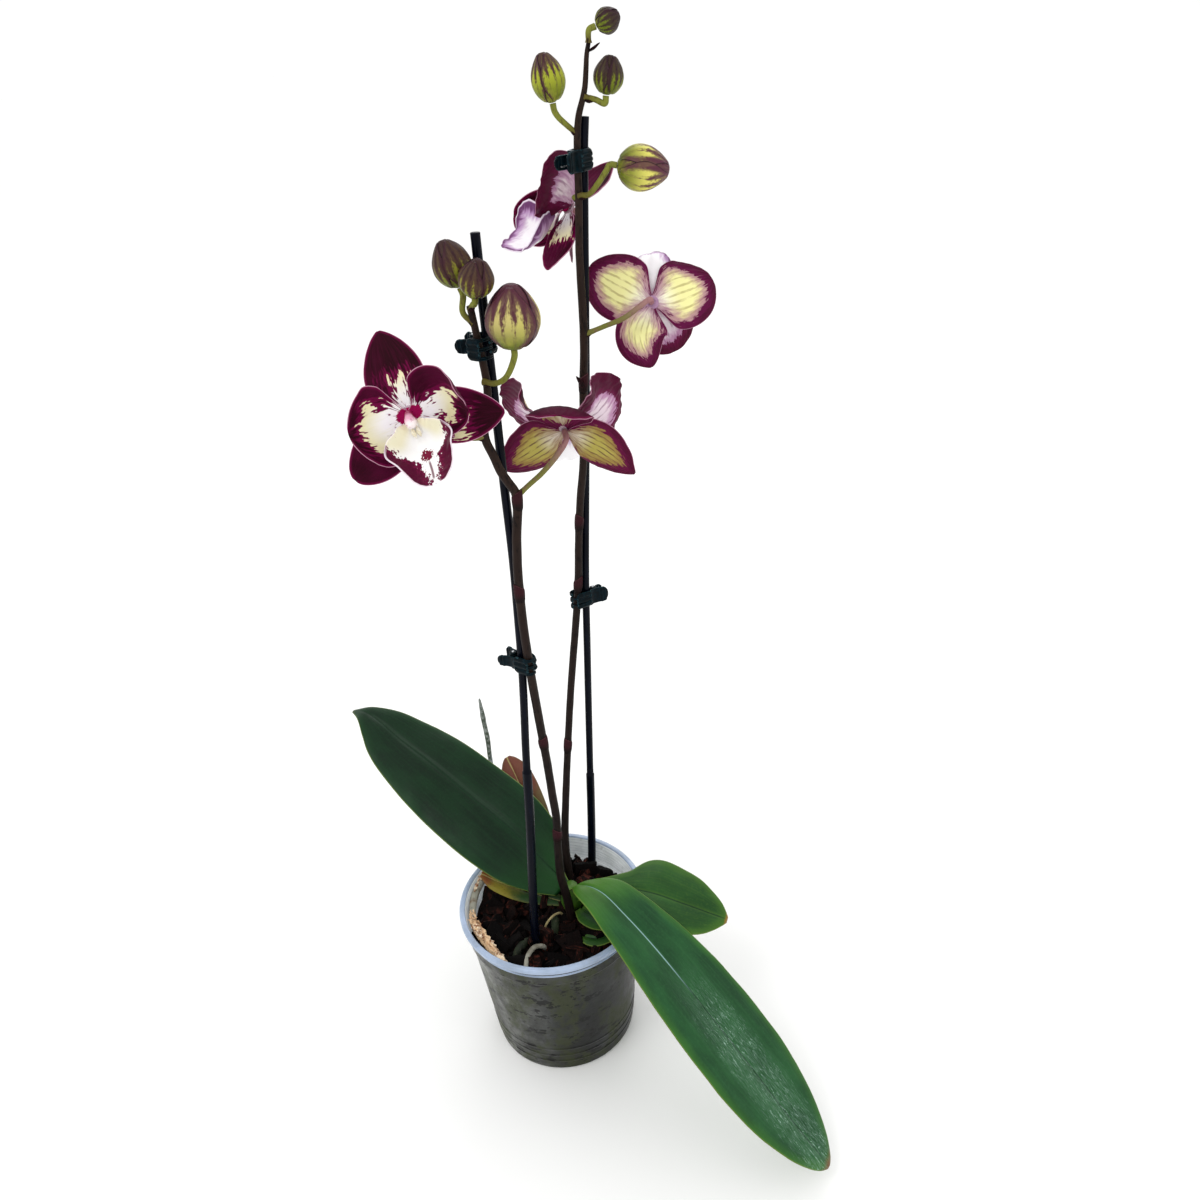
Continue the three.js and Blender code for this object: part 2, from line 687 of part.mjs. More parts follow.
const BLOOMS = {
  a: {
    centre: [-34.1, -46.4, 454],
    facing: [-0.05, -0.95, 0.25],
    up: [-0.3, 0.2, 0.93],
    lipShift: [0, 0, 1.8],
    sepals: [
      { spine: [[0, 0, 0], [0.5, 19, -4], [1, 38, -13]], width: 27.5, widest: 0.4, blunt: 0.68 },
      { spine: [[0, 0, 0], [20, -9, 2.5], [38.5, -15.5, 2.5]], width: 25, blunt: 0.66 },
      { spine: [[0, 0, 0], [-19, -10, 3], [-34.5, -16.5, 3.5]], width: 25, blunt: 0.5 },
    ],
    petals: [
      {
        spine: [[0, 0, 0], [-4.2, 0.1, 0.3], [-16, 0.5, 3], [-26.5, 2, 10]],
        width: 37,
        widest: 0.52,
        face: [[0.2, 0, 1], [0.5, 0, 1]],
      },
      {
        spine: [[0, 0, 0], [4.2, 0.1, 0.3], [17.5, 0.5, 4.9], [25.5, -8, 14.2]],
        width: 36,
        widest: 0.58,
        face: [[-0.2, 0.02, 1], [-0.6, -0.64, 1]],
      },
    ],
  },
  b: {
    centre: [35.6, -9, 425.9],
    facing: [0.03, 0.92, 0.36],
    up: [0, -0.3, 0.95],
    lipShift: [0, -4.3, -0.4],
    sepals: [
      {
        spine: [[0, 0, 0], [1.5, 15.5, -1.5], [3, 21.5, -14.5]],
        width: 34,
        widest: 0.5,
        blunt: 0.5,
        cup: -0.3,
        face: [[-0.08, 0.7, 1], [-0.15, 1.3, 0.2]],
      },
      { spine: [[0, 0, 0], [-17.5, -6, -9], [-32, -13.5, -21.5]], widest: 0.42, blunt: 0.76 },
      { spine: [[0, 0, 0], [19.5, -8.5, -5], [32.5, -13.5, -8.5]], width: 30, widest: 0.45, blunt: 0.6 },
    ],
    petals: [
      {
        spine: [[0, 0, 0], [4.2, -0.1, 0.3], [16, -0.5, 14], [29, 3, 28]],
        width: 26,
        cup: 0.05,
        face: [[0.16, 0.4, 1], [0.17, 0.15, 0.9]],
      },
      {
        spine: [[0, 0, 0], [-4.2, -0.1, 0.3], [-17.5, -0.5, 9.1], [-31, 5, 24]],
        width: 28,
        cup: 0.05,
        face: [[0, 0.05, 1], [-0.1, 0.1, 0.9]],
      },
    ],
  },
  c: {
    centre: [91.8, 47.4, 468],
    facing: [0.3, 0.85, -0.42],
    up: [0.02, -0.42, -0.9],
    lipShift: [0, -0.2, 0.3],
    sepals: [
      { spine: [[0, 0, 0], [-8, 16.5, -1.5], [-4.5, 33, -0.5]], width: 28, widest: 0.45, blunt: 0.68 },
      { spine: [[0, 0, 0], [19, -3.5, 4.5], [32, -8.5, 10]], width: 37, blunt: 0.5 },
      { spine: [[0, 0, 0], [-16.5, -11.5, -3], [-30, -23, -3.5]], width: 35, blunt: 0.5 },
    ],
    petals: [
      {
        spine: [[0, 0, 0], [1.3, 4, 0.3], [3.5, 11, 8.5], [7, 23.5, 17]],
        width: 33,
        cup: 0.1,
        face: [[0, 0, 1], [-0.2, -0.2, 1]],
      },
      {
        spine: [[0, 0, 0], [-4, 1.2, 0.3], [-6.5, 2, 7.5], [-7.5, 6.5, 18.5]],
        width: 26,
        cup: 0.1,
        face: [[0, 0, 1], [0.4, -0.3, 1]],
      },
    ],
  },
  d: {
    centre: [53.6, 63.6, 516.7],
    facing: [-0.78, -0.3, 0.55],
    up: [0.55, -0.1, 0.84],
    lipShift: [0, -2.6, 1.4],
    sepals: [
      {
        spine: [[0, 0, 0], [-7.5, 13.5, -7.5], [-15.5, 28, -15]],
        width: 21,
        blunt: 0.7,
        face: [[0.2, 0.1, 1], [0.35, 0.1, 1]],
      },
      {
        spine: [[0, 0, 0], [8.3, -10.6, -5], [13.5, -20.8, -10]],
        width: 25,
        face: [[-0.4, 0, 1], [-0.6, 0, 1]],
      },
      {
        spine: [[0, 0, 0], [16.5, -15, 2.3], [28, -26.5, 7.4]],
        width: 21,
        face: [[0.22, -0.04, 1], [0.4, 0.05, 1]],
      },
    ],
    petals: [
      {
        spine: [[0, 0, 0], [3.6, 3.2, 0.2], [6.4, 6.2, 11], [13.5, 5, 24.2]],
        width: 35,
        face: [[-0.29, 0.35, 1], [-1, -0.46, 0.6]],
      },
      {
        spine: [[0, 0, 0], [-2.8, -3.1, 0.3], [-9.5, -10.5, -2.2], [-19, -20.5, 13.5]],
        width: 30,
        face: [[0.05, 0.1, 1], [1, 0.08, 0.6]],
      },
    ],
  },
};

function tepal(shape, seat) {
  const power = Math.log(0.5) / Math.log(shape.widest);
  const halfAt = (u, v) => {
    const belly = Math.sin(Math.PI * (u ** power * 0.965 + 0.03)) ** shape.blunt;
    const claw = shape.claw + (1 - shape.claw) * smooth(u / 0.3);
    return (shape.width / 2) * Math.max(belly * claw, 0.06) * Math.cos(0.7 * shape.cup * v);
  };
  const riseAt = (u, v, half) => shape.cup * half * v * v;
  const thick = (u, v) => TEPAL_THICKNESS * (1.35 - 0.35 * u) * (1 - 0.2 * v * v);
  const blade = sheet(bladeSurface(shape.spine, shape.face, halfAt, riseAt), 6, 4, thick);
  blade.translate(0, 0, seat);
  return blade;
}

function hub(radius, from, to) {
  const disc = new THREE.CylinderGeometry(radius, radius * 0.8, to - from, 8);
  disc.rotateX(Math.PI / 2);
  disc.translate(0, 0, (from + to) / 2);
  return disc;
}

const sepalsGeometry = (bloom) =>
  fuse([hub(4.2, HUB_BACK, 0), ...bloom.sepals.map((shape) => tepal({ ...SEPAL, ...shape }, SEPAL_SEAT))]);
const petalsGeometry = (bloom) =>
  fuse([hub(3.4, GAP, 2.2), ...bloom.petals.map((shape) => tepal({ ...PETAL, ...shape }, PETAL_SEAT))]);

// Column: a short rod that bends down over the lip, with a wider cap
function columnGeometry() {
  const path = [
    [0, 0.2, 2.5],
    [0, 0.7, 5.5],
    [0, 0.9, 2.5 + COLUMN_LENGTH * 0.75],
    [0, -0.6, 2.5 + COLUMN_LENGTH],
  ];
  const radius = (t) => COLUMN_RADIUS * alongPairs([[0, 0.55], [0.4, 0.75], [0.8, 1.1], [1, 0.7]], t);
  return tube(path, radius, { sides: 8, steps: 6 });
}

// Lip: a scoop that drops from below the column and runs forward to a narrow tip
const LIP_KEEL = [[0, -3.7, 3.2], [0, -13, 2.9], [0, -24, 8], [0, -31, 19]];
const LIP_HALF_WIDTHS = [[0, 5], [0.15, 11], [0.35, 15.5], [0.6, 13], [0.8, 9.5], [0.93, 5.5], [1, 1.2]];
const LIP_SIDE_RISES = [[0, 3], [0.2, 12], [0.4, 12], [0.6, 6], [0.8, 2], [1, 0]];

function lipGeometry(shift) {
  const keel = curveThrough(LIP_KEEL.map((point) => point.map((value, i) => value + shift[i])));
  const lift = new THREE.Vector3(0, 0.45, 0.9).normalize();
  const surface = (u, v) => {
    const sway = 1.13 * alongPairs(LIP_HALF_WIDTHS, u) * v * (1 - 0.12 * v * v);
    return keel
      .getPointAt(u)
      .add(new THREE.Vector3(sway, 0, 0))
      .addScaledVector(lift, alongPairs(LIP_SIDE_RISES, u) * v * v);
  };
  return sheet(surface, 7, 6, () => LIP_THICKNESS);
}

function addBloom(key, bloom) {
  const facing = vector(bloom.facing).normalize();
  const right = new THREE.Vector3().crossVectors(vector(bloom.up), facing).normalize();
  const up = new THREE.Vector3().crossVectors(facing, right);
  const group = new THREE.Group();
  group.position.copy(vector(bloom.centre));
  group.quaternion.setFromRotationMatrix(new THREE.Matrix4().makeBasis(right, up, facing));
  plant.add(group);
  add(`bloom_${key}_sepals`, sepalsGeometry(bloom), TEPAL, group);
  add(`bloom_${key}_petals`, petalsGeometry(bloom), TEPAL, group);
  add(`bloom_${key}_lip`, lipGeometry(bloom.lipShift), LIP, group);
  add(`bloom_${key}_column`, columnGeometry(), LIP, group);
}

// Buds: an egg of three closed sepals, with a furrow where each pair meets
const BUDS = {
  bud_1: { centre: [76, 38, 598.2], axis: [0.9, 0, 0.35], length: 11.5, radius: 5.4 },
  bud_2: { centre: [46.4, 38, 577], axis: [-0.15, 0, 1], length: 21, radius: 7.6 },
  bud_3: { centre: [74.6, 37, 576], axis: [0.2, 0, 1], length: 16.5, radius: 6.8 },
  bud_4: { centre: [88.2, 33.4, 535.6], axis: [0.96, 0, -0.16], length: 25, radius: 10.4 },
  bud_5: { centre: [-7.7, -25, 511.4], axis: [-0.25, 0.1, 1], length: 20.5, radius: 8.4 },
  bud_6: { centre: [2.4, -38.4, 507], axis: [0.2, -0.3, 1], length: 17, radius: 7.4 },
  bud_7: { centre: [15.6, -39, 489.4], axis: [0.06, -0.05, 1], length: 28, radius: 12 },
};

function budGeometry(bud) {
  const sides = 12;
  const rows = 6;
  const axis = vector(bud.axis).normalize();
  const turn = new THREE.Quaternion().setFromUnitVectors(new THREE.Vector3(0, 0, 1), axis);
  const rings = [];
  for (let i = 0; i <= rows; i += 1) {
    const share = i / rows;
    const swell = Math.sin(Math.PI * (0.04 + 0.92 * share ** 0.86)) ** 0.72;
    const ring = [];
    for (let k = 0; k < sides; k += 1) {
      const angle = (2 * Math.PI * k) / sides;
      const furrow = k % 4 === 0 ? 0.93 : 1;
      const radius = bud.radius * swell * furrow;
      ring.push(
        new THREE.Vector3(
          radius * Math.cos(angle),
          radius * Math.sin(angle),
          bud.length * (share - 0.5),
        )
          .applyQuaternion(turn)
          .add(vector(bud.centre)),
      );
    }
    rings.push(ring);
  }
  return skin(rings);
}

// Roots that show: their routes and thicknesses
const ROOTS = {
  root_rim: {
    points: [
      [-22, 36, 88],
      [-34, 40, 97],
      [-42.5, 32, 103.5],
      [-49.5, 19, 103],
      [-52.4, 4, 101],
      [-50.5, -10, 100.5],
      [-43, -26, 99],
      [-36, -36, 96.5],
      [-30, -38.5, 90],
    ],
    radii: [[0, 2.2], [0.3, 2.6], [0.6, 2.3], [1, 1.2]],
    steps: 15,
  },
  root_front: {
    points: [
      [-8, -24.5, 88],
      [-9.6, -29.2, 97],
      [-14.6, -31, 99.4],
      [-18.8, -35, 98.6],
      [-21, -40.5, 96.8],
      [-22, -45, 92],
      [-22.4, -46, 84],
    ],
    radii: [[0, 1.4], [0.4, 1.5], [1, 1.5]],
    steps: 11,
  },
  root_green_left: {
    points: [[-15.5, -15, 88], [-20.4, -21.8, 94.5], [-25.4, -27.6, 95], [-29, -32.4, 88]],
    radii: [[0, 2.2], [0.5, 2.7], [1, 2.2]],
    steps: 6,
  },
  root_green_middle: {
    points: [[1.5, 1, 88], [0.5, -5, 95], [-0.6, -14, 95.4], [-3.5, -22, 88]],
    radii: [[0, 2.2], [0.5, 2.6], [1, 2]],
    steps: 6,
  },
  root_sliver: {
    points: [
      [6.4, -4, 91],
      [4.4, -4.8, 97.6],
      [0.8, -7.2, 99.8],
      [-4.2, -11.6, 99.6],
      [-7.6, -17, 98],
      [-9.6, -20, 91],
    ],
    radii: [[0, 0.8], [1, 0.7]],
    steps: 6,
  },
  root_aerial: {
    points: [
      [-5, 30, 88],
      [-13, 42, 104],
      [-20, 53, 113],
      [-27, 71, 121],
      [-30, 86, 135],
      [-30.4, 96, 152],
      [-30.2, 99.6, 165],
      [-30.8, 100, 180],
      [-31.6, 100, 201.5],
    ],
    radii: [[0, 2], [0.7, 1.6], [0.9, 1.7], [1, 0.7]],
    steps: 12,
  },
};

const rootGeometry = (root, grow = 0) =>
  tube(root.points, (t) => alongPairs(root.radii, t), { sides: 6, steps: root.steps, grow });

// Bark: the filling of the pot with loose chips standing out of it
function chip(random, centre, size) {
  const box = new THREE.BoxGeometry(size, size * (0.5 + 0.4 * random()), size * (0.35 + 0.3 * random()));
  const corners = box.getAttribute("position");
  const shifts = new Map();
  for (let i = 0; i < corners.count; i += 1) {
    const corner = new THREE.Vector3().fromBufferAttribute(corners, i);
    const key = [corner.x > 0, corner.y > 0, corner.z > 0].join();
    if (!shifts.has(key)) {
      const shift = () => (random() - 0.5) * 0.3 * size;
      shifts.set(key, new THREE.Vector3(shift(), shift(), shift()));
    }
    corner.add(shifts.get(key));
    corners.setXYZ(i, corner.x, corner.y, corner.z);
  }
  box.rotateX((random() - 0.5) * 1.1);
  box.rotateY((random() - 0.5) * 1.1);
  box.rotateZ(2 * Math.PI * random());
  box.translate(...centre);
  return box;
}

function barkGeometry(holes) {
  const random = randomSource(41);
  const inside = POT_SHOULDER_RADIUS - POT_WALL - GAP;
  const footInside = POT_FOOT_RADIUS - POT_WALL - 0.4 - GAP;
  const floor = POT_FLOOR + GAP;
  const rings = [];
  const ringAt = (radius, heightAt) => {
    const ring = [];
    for (let k = 0; k < BARK_SIDES; k += 1) {
      const angle = (2 * Math.PI * k) / BARK_SIDES;
      const x = radius * Math.cos(angle);
      const y = radius * Math.sin(angle);
      ring.push(new THREE.Vector3(x, y, heightAt(x, y)));
    }
    return ring;
  };
  rings.push(ringAt(footInside - 2, () => floor));
  rings.push(ringAt(footInside, () => floor + 2.4));
  rings.push(ringAt(inside - 0.6, () => POT_SHOULDER_HEIGHT - 4));
  for (let i = 0; i < BARK_RINGS; i += 1) {
    const radius = (inside - 2) * (1 - i / BARK_RINGS);
    rings.push(ringAt(radius, () => BARK_TOP - 2 + 3.4 * random()));
  }
  const pieces = [skin(rings)];
  for (let i = 0; i < CHIP_COUNT; i += 1) {
    const radius = (inside - 8) * Math.sqrt((i + 0.5) / CHIP_COUNT);
    const angle = i * 2.39996;
    const back = Math.max(Math.sin(angle), 0) * (radius / inside);
    const size = 7 + 6 * random();
    const height = BARK_TOP - 1 + 2.4 * random() + 4.5 * back;
    pieces.push(chip(random, [radius * Math.cos(angle), radius * Math.sin(angle), height], size));
  }
  return carve(fuse(pieces), holes);
}

// Clips: two sprung jaws that turn on one pin; their fingers pass between each other. Each is
// built about its pin, with the held stems towards +X and the tabs towards -X.
const JAW_FINGERS = {
  fixed: [
    [-CLIP_HALF_HEIGHT, -3.3],
    [-0.9, 0.9],
    [3.3, CLIP_HALF_HEIGHT],
  ],
  moving: [
    [-2.8, -1.4],
    [1.4, 2.8],
  ],
};
const KNUCKLES = {
  fixed: [
    [-3.4, -2.2],
    [2.2, 3.4],
  ],
  moving: [
    [-CLIP_HALF_HEIGHT, -3.8],
    [3.8, CLIP_HALF_HEIGHT],
  ],
};
const JAW_TAB_HALF_HEIGHT = { fixed: 3.4, moving: CLIP_HALF_HEIGHT };
const COIL_CLEAR = 1.9;
const TAB_SPREAD = 4.4;

function slab(outline, low, high) {
  const shape = new THREE.Shape(outline.map(([x, y]) => new THREE.Vector2(x, y)));
  const solid = new THREE.ExtrudeGeometry(shape, { depth: high - low, bevelEnabled: false });
  solid.translate(0, 0, low);
  return solid;
}

// Band of even thickness on the inner side of a line of points
function band(line) {
  const points = line.map(([x, y]) => new THREE.Vector2(x, y));
  const inner = points.map((p, i) => {
    const before = points[Math.max(i - 1, 0)];
    const after = points[Math.min(i + 1, points.length - 1)];
    const along = after.clone().sub(before).normalize();
    return [p.x + along.y * CLIP_BAND, p.y - along.x * CLIP_BAND];
  });
  return [...line, ...inner.reverse()];
}

// halfWidth and reach are the room inside the jaws, neck is where they leave the coil
function jawGeometry(kind, { halfWidth, reach, neck }) {
  const outer = halfWidth + CLIP_BAND;
  const tip = reach + CLIP_BAND;
  const coil = COIL_CLEAR + CLIP_BAND;
  const turn = reach - Math.min(halfWidth * 0.5, 1.6);
  const tabHalf = JAW_TAB_HALF_HEIGHT[kind];
  const tabLine = [
    [-CLIP_TAB_LENGTH, TAB_SPREAD],
    [-4, TAB_SPREAD - 0.7],
    [-2.2, coil],
    [neck, coil],
    [neck + 2, outer],
    [neck + 3, outer],
  ];
  const wallLine = [
    [neck + 2, outer],
    [turn + 0.4, outer],
  ];
  const fingerLine = [
    [turn, outer],
    [reach + 0.4, outer * 0.68],
    [tip, outer * 0.28],
    [tip, -0.9],
  ];
  const pieces = [slab(band(tabLine), -tabHalf, tabHalf)];
  pieces.push(slab(band(wallLine), -CLIP_HALF_HEIGHT, CLIP_HALF_HEIGHT));
  for (const [low, high] of JAW_FINGERS[kind]) pieces.push(slab(band(fingerLine), low, high));
  const knuckle = [[-1.7, coil - 0.5], [-1.7, -1], [-0.9, -1.7], [0.9, -1.7], [1.7, -1], [1.7, coil - 0.5]];
  for (const [low, high] of KNUCKLES[kind]) pieces.push(slab(knuckle, low, high));
  const boreRadius = CLIP_PIN_RADIUS + GAP;
  const bore = new THREE.CylinderGeometry(boreRadius, boreRadius, 3 * CLIP_HALF_HEIGHT, 6);
  bore.rotateX(Math.PI / 2);
  const jaw = carve(fuse(pieces), [bore]);
  if (kind === "fixed") jaw.rotateX(Math.PI);
  return jaw;
}

function springGeometry() {
  const pinEnd = CLIP_HALF_HEIGHT + 0.5;
  const profile = [
    [0, -pinEnd],
    [CLIP_PIN_RADIUS, -pinEnd],
    [CLIP_PIN_RADIUS, -1.9],
    [CLIP_COIL_RADIUS, -1.7],
    [CLIP_COIL_RADIUS, 1.7],
    [CLIP_PIN_RADIUS, 1.9],
    [CLIP_PIN_RADIUS, pinEnd],
    [0, pinEnd],
  ];
  const spring = new THREE.LatheGeometry(
    profile.map(([r, z]) => new THREE.Vector2(r, z)),
    6,
  );
  spring.rotateX(Math.PI / 2);
  return spring;
}

// Each clip holds a stem and its stake: one behind the other as seen from the pin, or side by side
const IN_LINE = { halfWidth: 2.9, neck: 1.4 };
const SIDE_BY_SIDE = { halfWidth: 5.9, neck: -0.6 };
const CLIPS = {
  clip_1: { pin: [54.2, 34, 541], heading: 45, flipped: true, grip: { ...IN_LINE, reach: 12.4 } },
  clip_2: { pin: [-2.4, -24, 475], heading: -38, flipped: false, grip: { ...SIDE_BY_SIDE, reach: 8.7 } },
  clip_3: { pin: [47.4, 42.4, 303], heading: 202, flipped: false, grip: { ...IN_LINE, reach: 13.7 } },
  clip_4: { pin: [-3.6, -21.4, 305], heading: -41.5, flipped: false, grip: { ...IN_LINE, reach: 12.9 } },
};

function addClip(name, { pin, heading, flipped, grip }) {
  const group = new THREE.Group();
  group.position.copy(vector(pin));
  group.rotation.z = THREE.MathUtils.degToRad(heading);
  const turned = new THREE.Group();
  turned.rotation.x = flipped ? Math.PI : 0;
  group.add(turned);
  plant.add(group);
  add(`${name}_jaw_fixed`, jawGeometry("fixed", grip), CLIP, turned);
  add(`${name}_jaw_moving`, jawGeometry("moving", grip), CLIP, turned);
  add(`${name}_spring`, springGeometry(), STEEL, turned);
}

// Leaves that lie on the bark
const LOW_LEAVES = [
  "leaf_right_small",
  "leaf_old_upright",
  "leaf_yellowing",
  "leaf_lower_front",
  "leaf_lower_small",
];

// Assembly
add("pot", potGeometry(), CLEAR_PLASTIC);
add("crown", crownGeometry(), LEAF);
add("stake_left", leftStake(0), STAKE);
add("stake_right", rightStake(0), STAKE);
add("spike_left", spikeGeometry(LEFT_SPIKE, 30), STEM);
add("spike_right", spikeGeometry(RIGHT_SPIKE, 30), STEM);
for (const [name, leaf] of Object.entries(LEAVES)) {
  const old = name === "leaf_old_upright" || name === "leaf_yellowing";
  add(name, carve(leafGeometry(leaf), [crownGeometry(GAP)]), old ? OLD_LEAF : LEAF);
}
for (const [name, root] of Object.entries(ROOTS)) {
  add(name, rootGeometry(root), name.startsWith("root_green") ? GREEN_ROOT : ROOT);
}
const stemHole = (spike) => tube(spike.stem, stemRadius(spike), { sides: 6, steps: 30, grow: GAP });
const holes = [
  crownGeometry(GAP),
  leftStake(GAP),
  rightStake(GAP),
  stemHole(LEFT_SPIKE),
  stemHole(RIGHT_SPIKE),
  ...Object.values(ROOTS).map((root) => rootGeometry(root, GAP)),
  ...LOW_LEAVES.map((name) => leafGeometry(LEAVES[name], GAP)),
];
add("bark", barkGeometry(holes), BARK);
for (const [name, bud] of Object.entries(BUDS)) add(name, budGeometry(bud), BUD);
for (const [key, bloom] of Object.entries(BLOOMS)) addBloom(key, bloom);
for (const [name, clip] of Object.entries(CLIPS)) addClip(name, clip);

export default plant;
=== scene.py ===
"""A potted daruma moth orchid, dressed over its solid model.

Sizes are in millimetres in the model's own frame, +Z up, and become metres when a mesh is made.
The origin is the centre of the pot's foot, and -Y is the side that the blooms are seen from.
"""
import math
import bpy
import numpy as np
from mathutils import Matrix


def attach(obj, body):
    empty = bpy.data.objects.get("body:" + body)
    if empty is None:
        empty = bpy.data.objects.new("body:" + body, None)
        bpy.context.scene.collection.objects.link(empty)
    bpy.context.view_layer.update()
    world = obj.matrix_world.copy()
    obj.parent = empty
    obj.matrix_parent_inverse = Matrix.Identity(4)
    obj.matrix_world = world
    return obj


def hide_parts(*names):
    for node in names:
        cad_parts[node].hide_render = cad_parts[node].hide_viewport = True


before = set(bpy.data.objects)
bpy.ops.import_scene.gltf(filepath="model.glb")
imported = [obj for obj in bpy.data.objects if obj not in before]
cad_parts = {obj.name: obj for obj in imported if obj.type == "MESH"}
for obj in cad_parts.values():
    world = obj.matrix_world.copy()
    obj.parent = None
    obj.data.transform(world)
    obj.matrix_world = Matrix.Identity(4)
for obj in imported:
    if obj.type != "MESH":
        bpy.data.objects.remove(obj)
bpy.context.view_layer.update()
MM = 0.001
PLANT = "plant_and_pot"

# Sizes and routes that the solid model is made from
# How finely the pieces are cut, and how much bark lies on top
POT_SIDES = 128
LEAF_GRID = (110, 49)
TEPAL_GRID = (64, 45)
LIP_GRID = (70, 45)
BUD_GRID = (32, 40)
BUD_SEPAL_GRID = (40, 29)
PLATE_GRID = (40, 25)
SPIKE_RINGS = 260
CHIP_COUNT = 260
GOLDEN_ANGLE = 2.39996

# Pot
POT_HEIGHT = 108.5
POT_FOOT_RADIUS = 46.3
POT_SHOULDER_RADIUS = 55.4
POT_COLLAR_RADIUS = 56.8
POT_RIM_RADIUS = 60
POT_SHOULDER_HEIGHT = 91
POT_BEAD_HEIGHT = 100.4
POT_RIM_DEPTH = 4.2
POT_WALL = 1
POT_FLOOR = 1.8

# Bark, stakes and stems
BARK_TOP = 94
STAKE_RADIUS = 2.2
SLEEVE_RADIUS = 2.7
STEM_RADIUS = 2.35
PEDICEL_RADIUS = 1.5
SLEEVE_TOP_SHARE = {"left": 0.43, "right": 0.29}

# Clips
CLIP_HALF_HEIGHT = 5
CLIP_BAND = 1.1
CLIP_TAB_LENGTH = 8
COIL_CLEAR = 1.9
KNUCKLE_RADIUS = 1.75
TAB_SPREAD = 4.4

# Blooms. A seat is how far in front of the hub a whorl is joined.
LIP_THICKNESS = 1.1
COLUMN_LENGTH = 9
COLUMN_RADIUS = 2.5
TEPAL_THICKNESS = 0.9
SEPAL_SEAT = -1.1
PETAL_SEAT = 1.3
HUB_BACK = -2

CROWN_POINTS = [[13, 5, 66], [13, 5, 84], [13, 4.5, 98], [13, 4, 112]]

LEFT_STAKE_POINTS = [
    [-18.6, -24.2, 12], [-13.7, -24.4, 98], [-11.2, -24.4, 138], [-6.9, -24.4, 196], [-3.9, -24.4, 246],
    [-1.6, -24.4, 276], [0, -24.4, 300], [1.3, -24.4, 330], [2.6, -24.4, 366], [2.9, -24.4, 403],
    [3.5, -24.4, 448], [3.8, -24.4, 494], [4.3, -24.4, 523.3],
]

RIGHT_STAKE_POINTS = [
    [24.5, 34, 12], [30.1, 40.2, 91], [32.6, 40.6, 127], [36.2, 40.6, 190], [40.7, 40.6, 266],
    [43.7, 40.6, 316], [48.1, 40.6, 371], [52.8, 40.6, 428], [56.1, 40.6, 475], [59.5, 40.6, 523],
    [61.1, 40.6, 545], [62.7, 40.6, 559.6],
]

LEFT_SPIKE = {
    "stem": [
        [11.3, -6.8, 84], [10.6, -8, 98], [9.2, -9, 117], [7.2, -10.4, 135], [7.4, -12, 158],
        [8.7, -14, 184], [8, -16, 205], [7.3, -18, 229], [6.2, -21.2, 253], [5.2, -24.6, 275.6],
        [4.2, -27.8, 299], [3.7, -28.9, 317], [3.5, -29.4, 336], [4, -29.6, 358], [5.6, -30, 379],
        [8.1, -30, 402.7], [4.9, -30.2, 410], [2.2, -30.4, 415.5], [-0.3, -30.6, 424],
        [-2.8, -30.6, 431.5], [-3, -30.2, 437], [-0.8, -30, 444], [0.5, -29.8, 451], [0.9, -29.6, 461],
        [-0.5, -29.8, 478], [-1.4, -30.2, 488], [-2, -30.6, 494],
    ],
    "radii": [[0, 3], [0.2, STEM_RADIUS + 0.1], [0.75, STEM_RADIUS], [0.9, 1.9], [1, 1.6]],
    "nodes": [170.7, 246, 348, 399],
    "pedicels": {
        "bloom_a": [[-2.6, -30.4, 434], [-10, -32.5, 434.8], [-19, -34.2, 439.5], [-27.5, -36, 446]],
        "bloom_b": [[7.6, -30, 401.5], [15.3, -28, 406.7], [21.2, -26, 410.3], [29, -22.5, 416.4]],
        "bud_7": [[-0.6, -31, 460], [4.8, -34.2, 459.6], [9.6, -35.6, 462]],
        "bud_5": [[-1.4, -30.2, 486], [-5.4, -28.4, 491]],
        "bud_6": [[-2, -30.6, 492.5], [-0.6, -33, 495]],
    },
}

RIGHT_SPIKE = {
    "stem": [
        [13.4, 17, 88], [13.2, 19, 105], [13.1, 22, 126], [14.1, 25.5, 140], [16.4, 28, 158.5],
        [20.3, 31, 188], [26.9, 35, 235], [30.6, 36.5, 259], [34, 37.6, 280], [36.9, 38.2, 299],
        [39.2, 38, 318], [41, 37.6, 338], [42.8, 37, 355], [45, 36.6, 371.6], [47, 35.8, 384],
        [49, 35.6, 402], [50.5, 35.6, 424], [51.7, 35.6, 437], [53.2, 35.6, 453], [53.9, 35.8, 468],
        [54.2, 36.2, 482], [54.8, 36.8, 500], [56, 36.9, 516], [56.8, 37, 528], [57.4, 37, 541],
        [58.1, 36.8, 552], [59.6, 36.6, 560.5], [61.9, 36.8, 567], [63.5, 37.4, 572], [64.6, 38, 579],
        [65.4, 38, 585], [67, 38, 591],
    ],
    "radii": [[0, 2.8], [0.2, STEM_RADIUS - 0.1], [0.75, STEM_RADIUS - 0.2], [0.92, 1.7], [1, 1]],
    "nodes": [202, 312, 352, 432],
    "pedicels": {
        "bloom_c": [[53.4, 35.8, 458.4], [64.8, 35.5, 461.8], [74.8, 36.2, 464.6]],
        "bloom_d": [[56.4, 37.2, 524], [55, 42, 524], [57.4, 50, 521], [61.6, 58, 516]],
        "bud_4": [[56.6, 36.4, 525.4], [61.2, 33.2, 526], [65.3, 32.2, 530], [70, 32, 535.6]],
        "bud_2": [[58.1, 37, 552.6], [53.6, 38, 556.7], [50, 38, 560.4]],
        "bud_3": [[62.4, 36.8, 568], [67.7, 36.6, 566.4]],
        "bud_1": [[66.6, 38, 589.6]],
    },
}

# Leaves: spine, widths along it, where the face looks at base and tip, and how deep the fold is.
# skew makes one side wider, tuck narrows the other at the base, and droop lets the margins hang.
LEAF_USUAL = {"skew": 0, "tuck": 1, "droop": 0.7}

